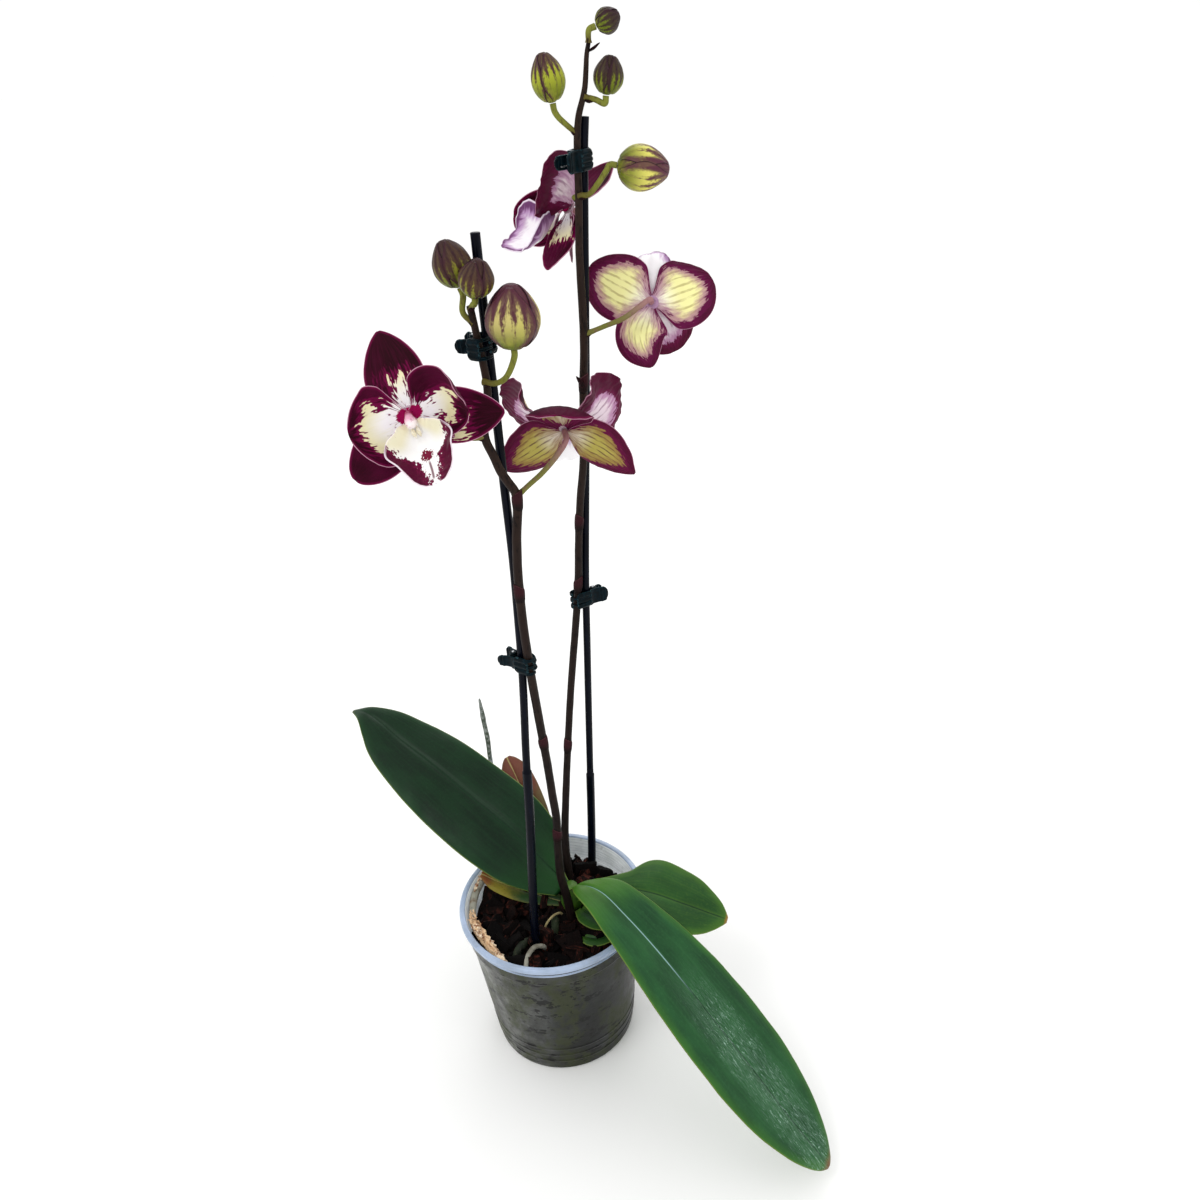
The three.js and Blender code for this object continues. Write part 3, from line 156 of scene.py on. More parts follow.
LEAVES = {
    "leaf_left_big": {
        "spine": [
            [10.8, 6.6, 110.5], [3, 14, 117], [-21.5, 36.1, 139.2], [-45.4, 57.6, 153.9],
            [-70, 79.7, 169.1], [-89.2, 97, 179.1], [-102, 108.5, 187.5], [-111.5, 117.1, 190.7],
            [-121.7, 126.3, 187.7],
        ],
        "widths": [
            [0, 18], [0.08, 38], [0.18, 54], [0.3, 61], [0.45, 61], [0.6, 57], [0.72, 49], [0.81, 39],
            [0.87, 28], [0.92, 17], [0.96, 9], [1, 2],
        ],
        "skew": 0.11,
        "tuck": 0.3,
        "face": [[-0.25, -0.35, 1], [-0.1, -0.15, 1]],
        "fold": 0.14,
        "droop": 1.1,
        "thickness": 1.9,
    },
    "leaf_right_big": {
        "spine": [
            [14.5, 1.5, 111], [20, -4.5, 118.5], [31, -19.7, 124.9], [42.8, -35.2, 119],
            [57.7, -53.5, 106.8], [79.2, -80, 84.1], [100.1, -105, 59.6], [118.2, -126.6, 37],
            [131.5, -142.2, 21.2], [137.7, -149, 14.2],
        ],
        "widths": [
            [0, 8], [0.04, 14], [0.08, 24], [0.16, 36], [0.3, 49], [0.45, 59], [0.6, 63], [0.72, 61],
            [0.82, 53], [0.9, 40], [0.955, 26], [0.985, 14], [1, 3],
        ],
        "face": [[0.1, 0.1, 1], [0.1, 0.05, 1]],
        "fold": 0.2,
        "thickness": 1.9,
    },
    "leaf_right_small": {
        "spine": [
            [17, 4, 103], [32, 2, 107], [50, -6.5, 111], [64.9, -12, 109.2], [80.3, -18, 104.2],
            [92, -23.3, 100.9], [100.8, -27, 97.8], [108.2, -30.5, 95.4],
        ],
        "widths": [
            [0, 12], [0.12, 16], [0.3, 29], [0.5, 54], [0.7, 48], [0.84, 36], [0.93, 22], [0.98, 10],
            [1, 4],
        ],
        "face": [[0.05, 0, 1], [0.15, -0.3, 1]],
        "fold": 0.16,
        "droop": 0.8,
        "thickness": 1.8,
    },
    "leaf_old_upright": {
        "spine": [
            [5.5, 11.5, 104], [1, 28, 106], [-2.9, 49.4, 110], [-7.9, 64, 128], [-12.9, 78.7, 143],
            [-18.6, 95, 152.4],
        ],
        "widths": [[0, 10], [0.3, 20], [0.6, 26], [0.85, 22], [0.96, 12], [1, 4]],
        "face": [[-0.2, -0.6, 1], [-0.3, -1, 0.8]],
        "fold": 0.16,
        "thickness": 1.5,
    },
    "leaf_yellowing": {
        "spine": [
            [5.5, 5.5, 97.6], [-7.5, 11.5, 99.8], [-20.3, 17.1, 102.5], [-34.7, 22.3, 107.6],
            [-44.5, 25.9, 112.5],
        ],
        "widths": [[0, 7], [0.3, 15], [0.6, 17], [0.85, 13], [1, 4]],
        "face": [[-0.1, -0.3, 1], [-0.1, -0.3, 1]],
        "fold": 0.2,
        "thickness": 1.4,
    },
    "leaf_lower_front": {
        "spine": [[18, -5, 99.5], [22, -11, 100.3], [28, -19, 101.4], [33.5, -27, 100.5]],
        "widths": [[0, 11], [0.35, 20], [0.7, 19], [0.9, 11], [1, 3]],
        "face": [[0.1, -0.1, 1], [0.1, -0.1, 1]],
        "fold": 0.22,
        "thickness": 1.5,
    },
    "leaf_lower_small": {
        "spine": [[15, -25, 96.4], [23, -29.5, 97.2], [31, -29, 97.6], [39, -26, 96.8]],
        "widths": [[0, 7], [0.3, 12], [0.65, 12], [0.9, 7], [1, 2.5]],
        "face": [[0, -0.1, 1], [0, -0.1, 1]],
        "fold": 0.2,
        "thickness": 1.3,
    },
}

FLAT = [[0, 0, 1], [0, 0, 1]]

SEPAL = {
    "width": 26,
    "widest": 0.48,
    "blunt": 0.62,
    "claw": 0.4,
    "cup": 0.12,
    "face": FLAT,
}

PETAL = {
    "width": 37,
    "widest": 0.55,
    "blunt": 0.5,
    "claw": 0.35,
    "cup": 0.28,
    "face": FLAT,
}

# Blooms: sepals and petals are drawn in the bloom's own frame, X right, Y up and Z to the front
BLOOMS = {
    "a": {
        "centre": [-34.1, -46.4, 454],
        "facing": [-0.05, -0.95, 0.25],
        "up": [-0.3, 0.2, 0.93],
        "lip_shift": [0, 0, 1.8],
        "sepals": [
            {
                "spine": [[0, 0, 0], [0.5, 19, -4], [1, 38, -13]],
                "width": 27.5,
                "widest": 0.4,
                "blunt": 0.68,
            },
            {"spine": [[0, 0, 0], [20, -9, 2.5], [38.5, -15.5, 2.5]], "width": 25, "blunt": 0.66},
            {"spine": [[0, 0, 0], [-19, -10, 3], [-34.5, -16.5, 3.5]], "width": 25, "blunt": 0.5},
        ],
        "petals": [
            {
                "spine": [[0, 0, 0], [-4.2, 0.1, 0.3], [-16, 0.5, 3], [-26.5, 2, 10]],
                "width": 37,
                "widest": 0.52,
                "face": [[0.2, 0, 1], [0.5, 0, 1]],
            },
            {
                "spine": [[0, 0, 0], [4.2, 0.1, 0.3], [17.5, 0.5, 4.9], [25.5, -8, 14.2]],
                "width": 36,
                "widest": 0.58,
                "face": [[-0.2, 0.02, 1], [-0.6, -0.64, 1]],
            },
        ],
    },
    "b": {
        "centre": [35.6, -9, 425.9],
        "facing": [0.03, 0.92, 0.36],
        "up": [0, -0.3, 0.95],
        "lip_shift": [0, -4.3, -0.4],
        "sepals": [
            {
                "spine": [[0, 0, 0], [1.5, 15.5, -1.5], [3, 21.5, -14.5]],
                "width": 34,
                "widest": 0.5,
                "blunt": 0.5,
                "cup": -0.3,
                "face": [[-0.08, 0.7, 1], [-0.15, 1.3, 0.2]],
            },
            {"spine": [[0, 0, 0], [-17.5, -6, -9], [-32, -13.5, -21.5]], "widest": 0.42, "blunt": 0.76},
            {
                "spine": [[0, 0, 0], [19.5, -8.5, -5], [32.5, -13.5, -8.5]],
                "width": 30,
                "widest": 0.45,
                "blunt": 0.6,
            },
        ],
        "petals": [
            {
                "spine": [[0, 0, 0], [4.2, -0.1, 0.3], [16, -0.5, 14], [29, 3, 28]],
                "width": 26,
                "cup": 0.05,
                "face": [[0.16, 0.4, 1], [0.17, 0.15, 0.9]],
            },
            {
                "spine": [[0, 0, 0], [-4.2, -0.1, 0.3], [-17.5, -0.5, 9.1], [-31, 5, 24]],
                "width": 28,
                "cup": 0.05,
                "face": [[0, 0.05, 1], [-0.1, 0.1, 0.9]],
            },
        ],
    },
    "c": {
        "centre": [91.8, 47.4, 468],
        "facing": [0.3, 0.85, -0.42],
        "up": [0.02, -0.42, -0.9],
        "lip_shift": [0, -0.2, 0.3],
        "sepals": [
            {
                "spine": [[0, 0, 0], [-8, 16.5, -1.5], [-4.5, 33, -0.5]],
                "width": 28,
                "widest": 0.45,
                "blunt": 0.68,
            },
            {"spine": [[0, 0, 0], [19, -3.5, 4.5], [32, -8.5, 10]], "width": 37, "blunt": 0.5},
            {"spine": [[0, 0, 0], [-16.5, -11.5, -3], [-30, -23, -3.5]], "width": 35, "blunt": 0.5},
        ],
        "petals": [
            {
                "spine": [[0, 0, 0], [1.3, 4, 0.3], [3.5, 11, 8.5], [7, 23.5, 17]],
                "width": 33,
                "cup": 0.1,
                "face": [[0, 0, 1], [-0.2, -0.2, 1]],
            },
            {
                "spine": [[0, 0, 0], [-4, 1.2, 0.3], [-6.5, 2, 7.5], [-7.5, 6.5, 18.5]],
                "width": 26,
                "cup": 0.1,
                "face": [[0, 0, 1], [0.4, -0.3, 1]],
            },
        ],
    },
    "d": {
        "centre": [53.6, 63.6, 516.7],
        "facing": [-0.78, -0.3, 0.55],
        "up": [0.55, -0.1, 0.84],
        "lip_shift": [0, -2.6, 1.4],
        "sepals": [
            {
                "spine": [[0, 0, 0], [-7.5, 13.5, -7.5], [-15.5, 28, -15]],
                "width": 21,
                "blunt": 0.7,
                "face": [[0.2, 0.1, 1], [0.35, 0.1, 1]],
            },
            {
                "spine": [[0, 0, 0], [8.3, -10.6, -5], [13.5, -20.8, -10]],
                "width": 25,
                "face": [[-0.4, 0, 1], [-0.6, 0, 1]],
            },
            {
                "spine": [[0, 0, 0], [16.5, -15, 2.3], [28, -26.5, 7.4]],
                "width": 21,
                "face": [[0.22, -0.04, 1], [0.4, 0.05, 1]],
            },
        ],
        "petals": [
            {
                "spine": [[0, 0, 0], [3.6, 3.2, 0.2], [6.4, 6.2, 11], [13.5, 5, 24.2]],
                "width": 35,
                "face": [[-0.29, 0.35, 1], [-1, -0.46, 0.6]],
            },
            {
                "spine": [[0, 0, 0], [-2.8, -3.1, 0.3], [-9.5, -10.5, -2.2], [-19, -20.5, 13.5]],
                "width": 30,
                "face": [[0.05, 0.1, 1], [1, 0.08, 0.6]],
            },
        ],
    },
}

LIP_KEEL = [[0, -3.7, 3.2], [0, -13, 2.9], [0, -24, 8], [0, -31, 19]]

LIP_SIDE_RISES = [[0, 3], [0.2, 12], [0.4, 12], [0.6, 6], [0.8, 2], [1, 0]]

BUDS = {
    "bud_1": {"centre": [76, 38, 598.2], "axis": [0.9, 0, 0.35], "length": 11.5, "radius": 5.4},
    "bud_2": {"centre": [46.4, 38, 577], "axis": [-0.15, 0, 1], "length": 21, "radius": 7.6},
    "bud_3": {"centre": [74.6, 37, 576], "axis": [0.2, 0, 1], "length": 16.5, "radius": 6.8},
    "bud_4": {"centre": [88.2, 33.4, 535.6], "axis": [0.96, 0, -0.16], "length": 25, "radius": 10.4},
    "bud_5": {"centre": [-7.7, -25, 511.4], "axis": [-0.25, 0.1, 1], "length": 20.5, "radius": 8.4},
    "bud_6": {"centre": [2.4, -38.4, 507], "axis": [0.2, -0.3, 1], "length": 17, "radius": 7.4},
    "bud_7": {"centre": [15.6, -39, 489.4], "axis": [0.06, -0.05, 1], "length": 28, "radius": 12},
}

ROOTS = {
    "root_rim": {
        "points": [
            [-22, 36, 88], [-34, 40, 97], [-42.5, 32, 103.5], [-49.5, 19, 103], [-52.4, 4, 101],
            [-50.5, -10, 100.5], [-43, -26, 99], [-36, -36, 96.5], [-30, -38.5, 90],
        ],
        "radii": [[0, 2.2], [0.3, 2.6], [0.6, 2.3], [1, 1.2]],
    },
    "root_front": {
        "points": [
            [-8, -24.5, 88], [-9.6, -29.2, 97], [-14.6, -31, 99.4], [-18.8, -35, 98.6],
            [-21, -40.5, 96.8], [-22, -45, 92], [-22.4, -46, 84],
        ],
        "radii": [[0, 1.4], [0.4, 1.5], [1, 1.5]],
    },
    "root_green_left": {
        "points": [[-15.5, -15, 88], [-20.4, -21.8, 94.5], [-25.4, -27.6, 95], [-29, -32.4, 88]],
        "radii": [[0, 2.2], [0.5, 2.7], [1, 2.2]],
    },
    "root_green_middle": {
        "points": [[1.5, 1, 88], [0.5, -5, 95], [-0.6, -14, 95.4], [-3.5, -22, 88]],
        "radii": [[0, 2.2], [0.5, 2.6], [1, 2]],
    },
    "root_sliver": {
        "points": [
            [6.4, -4, 91], [4.4, -4.8, 97.6], [0.8, -7.2, 99.8], [-4.2, -11.6, 99.6], [-7.6, -17, 98],
            [-9.6, -20, 91],
        ],
        "radii": [[0, 0.8], [1, 0.7]],
    },
    "root_aerial": {
        "points": [
            [-5, 30, 88], [-13, 42, 104], [-20, 53, 113], [-27, 71, 121], [-30, 86, 135],
            [-30.4, 96, 152], [-30.2, 99.6, 165], [-30.8, 100, 180], [-31.6, 100, 201.5],
        ],
        "radii": [[0, 2], [0.7, 1.6], [0.9, 1.7], [1, 0.7]],
    },
}

JAW_FINGERS = {
    "fixed": [[-CLIP_HALF_HEIGHT, -3.3], [-0.9, 0.9], [3.3, CLIP_HALF_HEIGHT]],
    "moving": [[-2.8, -1.4], [1.4, 2.8]],
}

KNUCKLES = {
    "fixed": [[-3.4, -2.2], [2.2, 3.4]],
    "moving": [[-CLIP_HALF_HEIGHT, -3.8], [3.8, CLIP_HALF_HEIGHT]],
}

JAW_TAB_HALF_HEIGHT = {"fixed": 3.4, "moving": CLIP_HALF_HEIGHT}

IN_LINE = {"half_width": 2.9, "neck": 1.4}

SIDE_BY_SIDE = {"half_width": 5.9, "neck": -0.6}

CLIPS = {
    "clip_1": {
        "pin": [54.2, 34, 541],
        "heading": 45,
        "flipped": True,
        "grip": {**IN_LINE, "reach": 12.4},
    },
    "clip_2": {
        "pin": [-2.4, -24, 475],
        "heading": -38,
        "flipped": False,
        "grip": {**SIDE_BY_SIDE, "reach": 8.7},
    },
    "clip_3": {
        "pin": [47.4, 42.4, 303],
        "heading": 202,
        "flipped": False,
        "grip": {**IN_LINE, "reach": 13.7},
    },
    "clip_4": {
        "pin": [-3.6, -21.4, 305],
        "heading": -41.5,
        "flipped": False,
        "grip": {**IN_LINE, "reach": 12.9},
    },
}


# Lines, sheets and meshes


def unit(vectors):
    vectors = np.asarray(vectors, float)
    return vectors / np.maximum(np.linalg.norm(vectors, axis=-1, keepdims=True), 1e-12)


def smooth(t):
    t = np.clip(t, 0, 1)
    return t * t * (3 - 2 * t)


def linear(pairs, t):
    """Value at t of the straight lines that join pairs (t, value)."""
    table = np.array(pairs, float)
    return np.interp(t, table[:, 0], table[:, 1])


def line_through(points, per_span=30):
    """Points of one smooth line through given points, close together."""
    p = np.array(points, float)
    p = np.vstack([2 * p[0] - p[1], p, 2 * p[-1] - p[-2]])
    t = np.linspace(0, 1, per_span, endpoint=False)[:, None]
    spans = []
    for a, b, c, d in zip(p, p[1:], p[2:], p[3:]):
        gaps = [max(np.linalg.norm(e - s), 1e-9) ** 0.5 for s, e in ((a, b), (b, c), (c, d))]
        leave = ((b - a) / gaps[0] - (c - a) / (gaps[0] + gaps[1]) + (c - b) / gaps[1]) * gaps[1]
        arrive = ((c - b) / gaps[1] - (d - b) / (gaps[1] + gaps[2]) + (d - c) / gaps[2]) * gaps[1]
        bend = 3 * (c - b) - 2 * leave - arrive
        twist = 2 * (b - c) + leave + arrive
        spans.append(b + leave * t + bend * t**2 + twist * t**3)
    return np.vstack([*spans, p[-2:-1]])


def eased(pairs, t):
    """Value at t of a smooth line through pairs (t, value)."""
    line = line_through([[100 * share, value] for share, value in pairs])
    return np.interp(np.asarray(t) * 100, line[:, 0], line[:, 1])


class Route:
    """Smooth route through given points, read by share of its length."""

    def __init__(self, points):
        self.line = line_through(points)
        steps = np.linalg.norm(np.diff(self.line, axis=0), axis=1)
        self.length = steps.sum()
        self.shares = np.concatenate([[0], np.cumsum(steps)]) / self.length

    def at(self, share):
        axes = [np.interp(share, self.shares, self.line[:, k]) for k in range(3)]
        return np.stack(axes, -1)

    def heading(self, share):
        share = np.asarray(share, float)
        ahead = self.at(np.minimum(share + 0.004, 1))
        return unit(ahead - self.at(np.maximum(share - 0.004, 0)))


def waves(points, size, seed, octaves=3):
    """Repeatable smooth unevenness between about -1 and 1 at points, with bumps of that size."""
    random = np.random.default_rng(seed)
    points = np.asarray(points, float)
    total = np.zeros(points.shape[:-1])
    for octave in range(octaves):
        for _ in range(5):
            direction = unit(random.normal(size=points.shape[-1]))
            pace = 2 * math.pi * 2**octave / size * random.uniform(0.6, 1.4)
            total += np.sin(points @ direction * pace + random.uniform(0, 7)) / 2**octave
    return total / 4.5


class Shape:
    """Corners, faces and the values that a material reads, gathered before a mesh is made."""

    def __init__(self):
        self.points = []
        self.faces = []
        self.looks = []
        self.values = {}
        self.count = 0

    def add(self, points, faces, look=0, **values):
        points = np.asarray(points, float).reshape(-1, 3)
        for name in set(values) | set(self.values):
            width = np.shape(values[name])[-1:] if np.ndim(values.get(name, 0)) > 1 else ()
            known = self.values.setdefault(name, [np.zeros((self.count, *width))])
            shape = known[0].shape[1:]
            fresh = values.get(name, 0.0)
            known.append(np.broadcast_to(np.asarray(fresh, float), (len(points), *shape)))
        self.points.append(points)
        offset = [[corner + self.count for corner in face] for face in faces]
        self.faces.extend(offset)
        self.looks.extend(np.broadcast_to(look, len(faces)).tolist())
        self.count += len(points)

    def make(self, name, materials, nodes=(), body=PLANT, smooth_faces=True):
        """One mesh object that rides on a body and stands for the model's nodes of that place."""
        mesh = bpy.data.meshes.new(name)
        mesh.from_pydata((np.vstack(self.points) * MM).tolist(), [], self.faces)
        for label, blocks in self.values.items():
            data = np.concatenate(blocks)
            kind = "FLOAT" if data.ndim == 1 else "FLOAT_VECTOR"
            key = "value" if data.ndim == 1 else "vector"
            layer = mesh.attributes.new(label, kind, "POINT")
            layer.data.foreach_set(key, data.ravel())
        for finish in materials:
            mesh.materials.append(finish)
        mesh.polygons.foreach_set("material_index", self.looks)
        mesh.polygons.foreach_set("use_smooth", [smooth_faces] * len(self.faces))
        mesh.validate()
        mesh.update()
        made = bpy.data.objects.new(name, mesh)
        bpy.context.scene.collection.objects.link(made)
        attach(made, body)
        if nodes:
            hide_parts(*nodes)
        return made


def quads(rows, columns, closed=False):
    """Faces of a grid of points, row after row; closed joins the last column to the first."""
    faces = []
    for i in range(rows - 1):
        for j in range(columns if closed else columns - 1):
            k = (j + 1) % columns
            faces.append([i * columns + j, i * columns + k, (i + 1) * columns + k, (i + 1) * columns + j])
    return faces


def ring_faces(rings, sides):
    """Faces of rings of points, with a fan at each end to the two points that come after them."""
    faces = quads(rings, sides, closed=True)
    end = (rings - 1) * sides
    for k in range(sides):
        after = (k + 1) % sides
        faces.append([rings * sides, after, k])
        faces.append([rings * sides + 1, end + k, end + after])
    return faces


def tube(shape, route, radius_at, sides=16, steps=60, look=0, shares=None, **values):
    """Round closed tube along a route, with the way along it, in mm, as a value."""
    route = route if isinstance(route, Route) else Route(route)
    shares = np.linspace(0, 1, steps + 1) if shares is None else np.asarray(shares)
    centres = route.at(shares)
    headings = route.heading(shares)
    side = unit(np.cross(headings[0], [0.3, 0.9, 0.2]))
    angles = np.linspace(0, 2 * math.pi, sides, endpoint=False)
    rings = []
    for centre, heading, share in zip(centres, headings, shares):
        side = unit(side - heading * (side @ heading))
        other = np.cross(heading, side)
        spokes = np.outer(np.cos(angles), side) + np.outer(np.sin(angles), other)
        radius = np.broadcast_to(radius_at(share, angles), angles.shape)
        rings.append(centre + spokes * radius[:, None])
    points = np.concatenate([*rings, centres[:1], centres[-1:]])
    faces = ring_faces(len(rings), sides)
    along = np.concatenate([np.repeat(shares, sides), [shares[0], shares[-1]]])
    around = np.concatenate([np.tile(angles, len(shares)), [0, 0]])
    span = np.full(len(points), route.length)
    place = np.stack([along, around, span], -1)
    shape.add(points, faces, look, place=place, **values)
    return route


def sheet(shape, points, thickness, front=0, back=1, **values):
    """Closed thin sheet about a grid of points; its two faces meet along the margin."""
    rows, columns = points.shape[:2]
    along = np.gradient(points, axis=0)
    across = np.gradient(points, axis=1)
    normal = unit(np.cross(across, along))
    offset = normal * (np.broadcast_to(thickness, (rows, columns)) / 2)[..., None]
    inside = np.zeros((rows, columns), bool)
    inside[1:-1, 1:-1] = True
    offset[~inside] = 0
    index = np.arange(rows * columns).reshape(rows, columns)
    under = index.copy()
    under[inside] = rows * columns + np.arange(inside.sum())
    corners = np.concatenate([(points + offset).reshape(-1, 3), (points - offset)[inside]])
    faces = []
    looks = []
    for grid, look, turned in ((index, front, False), (under, back, True)):
        cells = np.stack([grid[:-1, :-1], grid[:-1, 1:], grid[1:, 1:], grid[1:, :-1]], -1).reshape(-1, 4)
        faces.extend((cells[:, ::-1] if turned else cells).tolist())
        looks.extend([look] * len(cells))
    spread = {}
    for name, grid in values.items():
        grid = np.asarray(grid, float)
        if grid.ndim < 2:
            grid = np.broadcast_to(grid, (rows, columns))
        flat = grid.reshape(rows * columns, *grid.shape[2:])
        spread[name] = np.concatenate([flat, grid[inside]])
    shape.add(corners, faces, looks, **spread)


def blade(spine, face, half_at, rise_at, rows, columns):
    """Grid of a blade about its spine, with its shares along and across and its half width."""
    route = Route(spine)
    # Points lie closer together near the tip and the margins
    u = 1 - (1 - np.linspace(0, 1, rows)) ** 1.15
    v = np.linspace(-1, 1, columns)
    v = np.sin(v * math.pi / 2) * 0.6 + v * 0.4
    tangent = route.heading(u)
    first, last = (unit(look) for look in face)
    look = first + (last - first) * u[:, None]
    side = unit(np.cross(tangent, look))
    normal = np.cross(side, tangent)
    U, V = np.meshgrid(u, v, indexing="ij")
    half = half_at(U, V)
    points = route.at(u)[:, None] + side[:, None] * (half * V)[..., None]
    points = points + normal[:, None] * rise_at(U, V, half)[..., None]
    return points, U, V, half, normal, route.length


def margin_distance(U, V, half, length):
    """Distance of each point of a blade from its margin, as laid flat, in mm."""
    rim = np.concatenate([
        np.stack([U[:, -1] * length, half[:, -1]], -1),
        np.stack([U[:, 0] * length, -half[:, 0]], -1),
    ])
    flat = np.stack([U * length, half * V], -1)
    gaps = np.linalg.norm(flat[:, :, None] - rim[None, None], axis=-1)
    return gaps.min(-1)


# Finishes


def paint(code):
    """Linear colour of an sRGB hex value."""
    parts = [int(code[i:i + 2], 16) / 255 for i in (1, 3, 5)]
    return (*[c / 12.92 if c <= 0.04045 else ((c + 0.055) / 1.055) ** 2.4 for c in parts], 1)


# For each kind of node: the inputs that its values go to, the output that is read, its settings
NODES = {
    "Attribute": ((), "Vector", {}),
    "Bump": (("Height", "Distance"), 0, {}),
    "CombineXYZ": ((0, 1, 2), 0, {}),
    "MapRange": ((0, 1, 2, 3, 4), 0, {"interpolation_type": "SMOOTHSTEP"}),
    "Mapping": (("Vector", "Scale", "Location"), 0, {}),
    "Math": ((0, 1, 2), 0, {}),
    "Mix": ((0, 6, 7), 2, {"data_type": "RGBA"}),
    "NewGeometry": ((), "Pointiness", {}),
    "SeparateXYZ": ((0,), None, {}),
    "TexCoord": ((), "Object", {}),
    "TexNoise": (("Vector", "Scale", "Detail", "Roughness"), "Fac", {}),
}


def add(tree, kind, *values, out=None, **settings):
    """Adds a node with its settings, sets or links its inputs in turn, and gives what is read.

    A kind of two words, such as "Math SINE", is a node and its operation.
    """
    kind, *operation = kind.split()
    inputs, read, usual = NODES[kind]
    made = tree.nodes.new("ShaderNode" + kind)
    if operation:
        made.operation = operation[0]
    for key, value in {**usual, **settings}.items():
        setattr(made, key, value)
    for key, value in zip(inputs, values):
        if isinstance(value, bpy.types.NodeSocket):
            tree.links.new(value, made.inputs[key])
        else:
            made.inputs[key].default_value = paint(value) if isinstance(value, str) else value
    if read is None:
        return made.outputs
    return made.outputs[read if out is None else out]


def finish_of(name, **constants):
    """New material with its shader's constants set, and its tree of nodes."""
    made = bpy.data.materials.new(name)
    made.use_nodes = True
    shader = made.node_tree.nodes["Principled BSDF"]
    for key, value in constants.items():
        shader.inputs[key.replace("_", " ")].default_value = value
    return made, made.node_tree


def dressed(made, colour, height=None, depth_mm=0.0, roughness=None):
    """The material with its colour, its relief of that depth and its roughness led to the shader."""
    tree = made.node_tree
    normal = None if height is None else add(tree, "Bump", height, depth_mm * MM)
    shader = tree.nodes["Principled BSDF"]
    for key, value in (("Base Color", colour), ("Roughness", roughness), ("Normal", normal)):
        if value is not None:
            tree.links.new(value, shader.inputs[key])
    return made


def carried(tree, name):
    """The three parts of a value that the mesh carries."""
    return add(tree, "SeparateXYZ", add(tree, "Attribute", attribute_name=name))


def coat(tree, under, over, value, *span):
    """A colour with another laid over it where a value lies in its span: low, high, start, stop."""
    return add(tree, "Mix", add(tree, "MapRange", value, *span), under, over)


def laid_out(tree, first, second, seed, detail=2.0, roughness=0.5):
    """Unevenness over a blade; first and second are each a way across it and its turns per unit."""
    ways = [add(tree, "Math MULTIPLY", way, pace) for way, pace in (first, second)]
    point = add(tree, "CombineXYZ", *ways, seed)
    return add(tree, "TexNoise", point, 1.0, detail, roughness)


def patches(tree, size, seed=0.0, detail=3.0, roughness=0.55, squash=(1, 1, 1)):
    """Unevenness in the model's frame with patches of about that size in mm."""
    scale = [1 / (size * MM) / side for side in squash]
    moved = add(tree, "Mapping", add(tree, "TexCoord"), scale, (seed, seed * 1.7, 0))
    return add(tree, "TexNoise", moved, 0.5, detail, roughness)


def velvet_petal(name, wine, deep, glow, cream, white):
    """Upper face of a daruma petal: velvety wine cells about a ragged cream flame, thin pale rim.

    Petal cells stand up like tiny domes, so the wine looks deep and soft, with hardly any gloss.
    """
    made, tree = finish_of(
        name, Roughness=0.6, IOR=1.38, Specular_IOR_Level=0.1, Subsurface_Weight=0.05,
        Subsurface_Radius=(1.0, 0.5, 0.6), Subsurface_Scale=0.002,
    )
    _, across, edge = carried(tree, "place")
    along, _, seed = carried(tree, "flat")
    pale = add(tree, "Attribute", attribute_name="pale", out="Fac")
    reach = add(tree, "Attribute", attribute_name="reach", out="Fac")
    # Fingers follow the veins: about 3 mm wide and 10 mm long
    fingers = laid_out(tree, (across, 6.5), (along, 0.1), seed, 1.0)
    # Teeth along the ragged line, about 1 mm
    fine = laid_out(tree, (across, 17.0), (along, 0.3), seed, 1.0)
    ragged = add(tree, "Math MULTIPLY_ADD", fingers, 14.0, -7.0)
    ragged = add(tree, "Math MULTIPLY_ADD", fine, 9.0, add(tree, "Math ADD", ragged, -4.5))
    ragged = add(tree, "Math ADD", pale, ragged)
    flame = add(tree, "MapRange", ragged, -0.25, 0.25)
    # Wine: darker streaks along the veins, and a brighter purple glow next to the flame
    streak = laid_out(tree, (across, 14.0), (along, 0.06), seed, 3.0)
    depth = patches(tree, 14.0, 3.0, 2.0)
    dark = coat(tree, deep, wine, depth, 0.35, 0.65)
    dark = coat(tree, dark, wine, streak, 0.42, 0.7, 0.0, 0.35)
    dark = coat(tree, dark, glow, ragged, -5.0, -0.4, 0.0, 0.7)
    dark = coat(tree, dark, glow, edge, 1.6, 0.5, 0.0, 0.5)
    light = coat(tree, white, cream, reach, 10.0, 24.0)
    light = coat(tree, light, cream, streak, 0.5, 0.75, 0.0, 0.3)
    light = coat(tree, light, glow, ragged, 1.2, 0.1, 0.0, 0.2)
    colour = add(tree, "Mix", flame, dark, light)
    # Bow-tie patch about the column
    heart = add(tree, "MapRange", add(tree, "Math MULTIPLY_ADD", fine, 3.0, reach), 8.2, 7.6)
    colour = add(tree, "Mix", heart, colour, "#98074c")
    colour = coat(tree, colour, "#d9a5bb", edge, 0.36, 0.14, 0.0, 0.7)
    return dressed(made, colour, streak, 0.2)


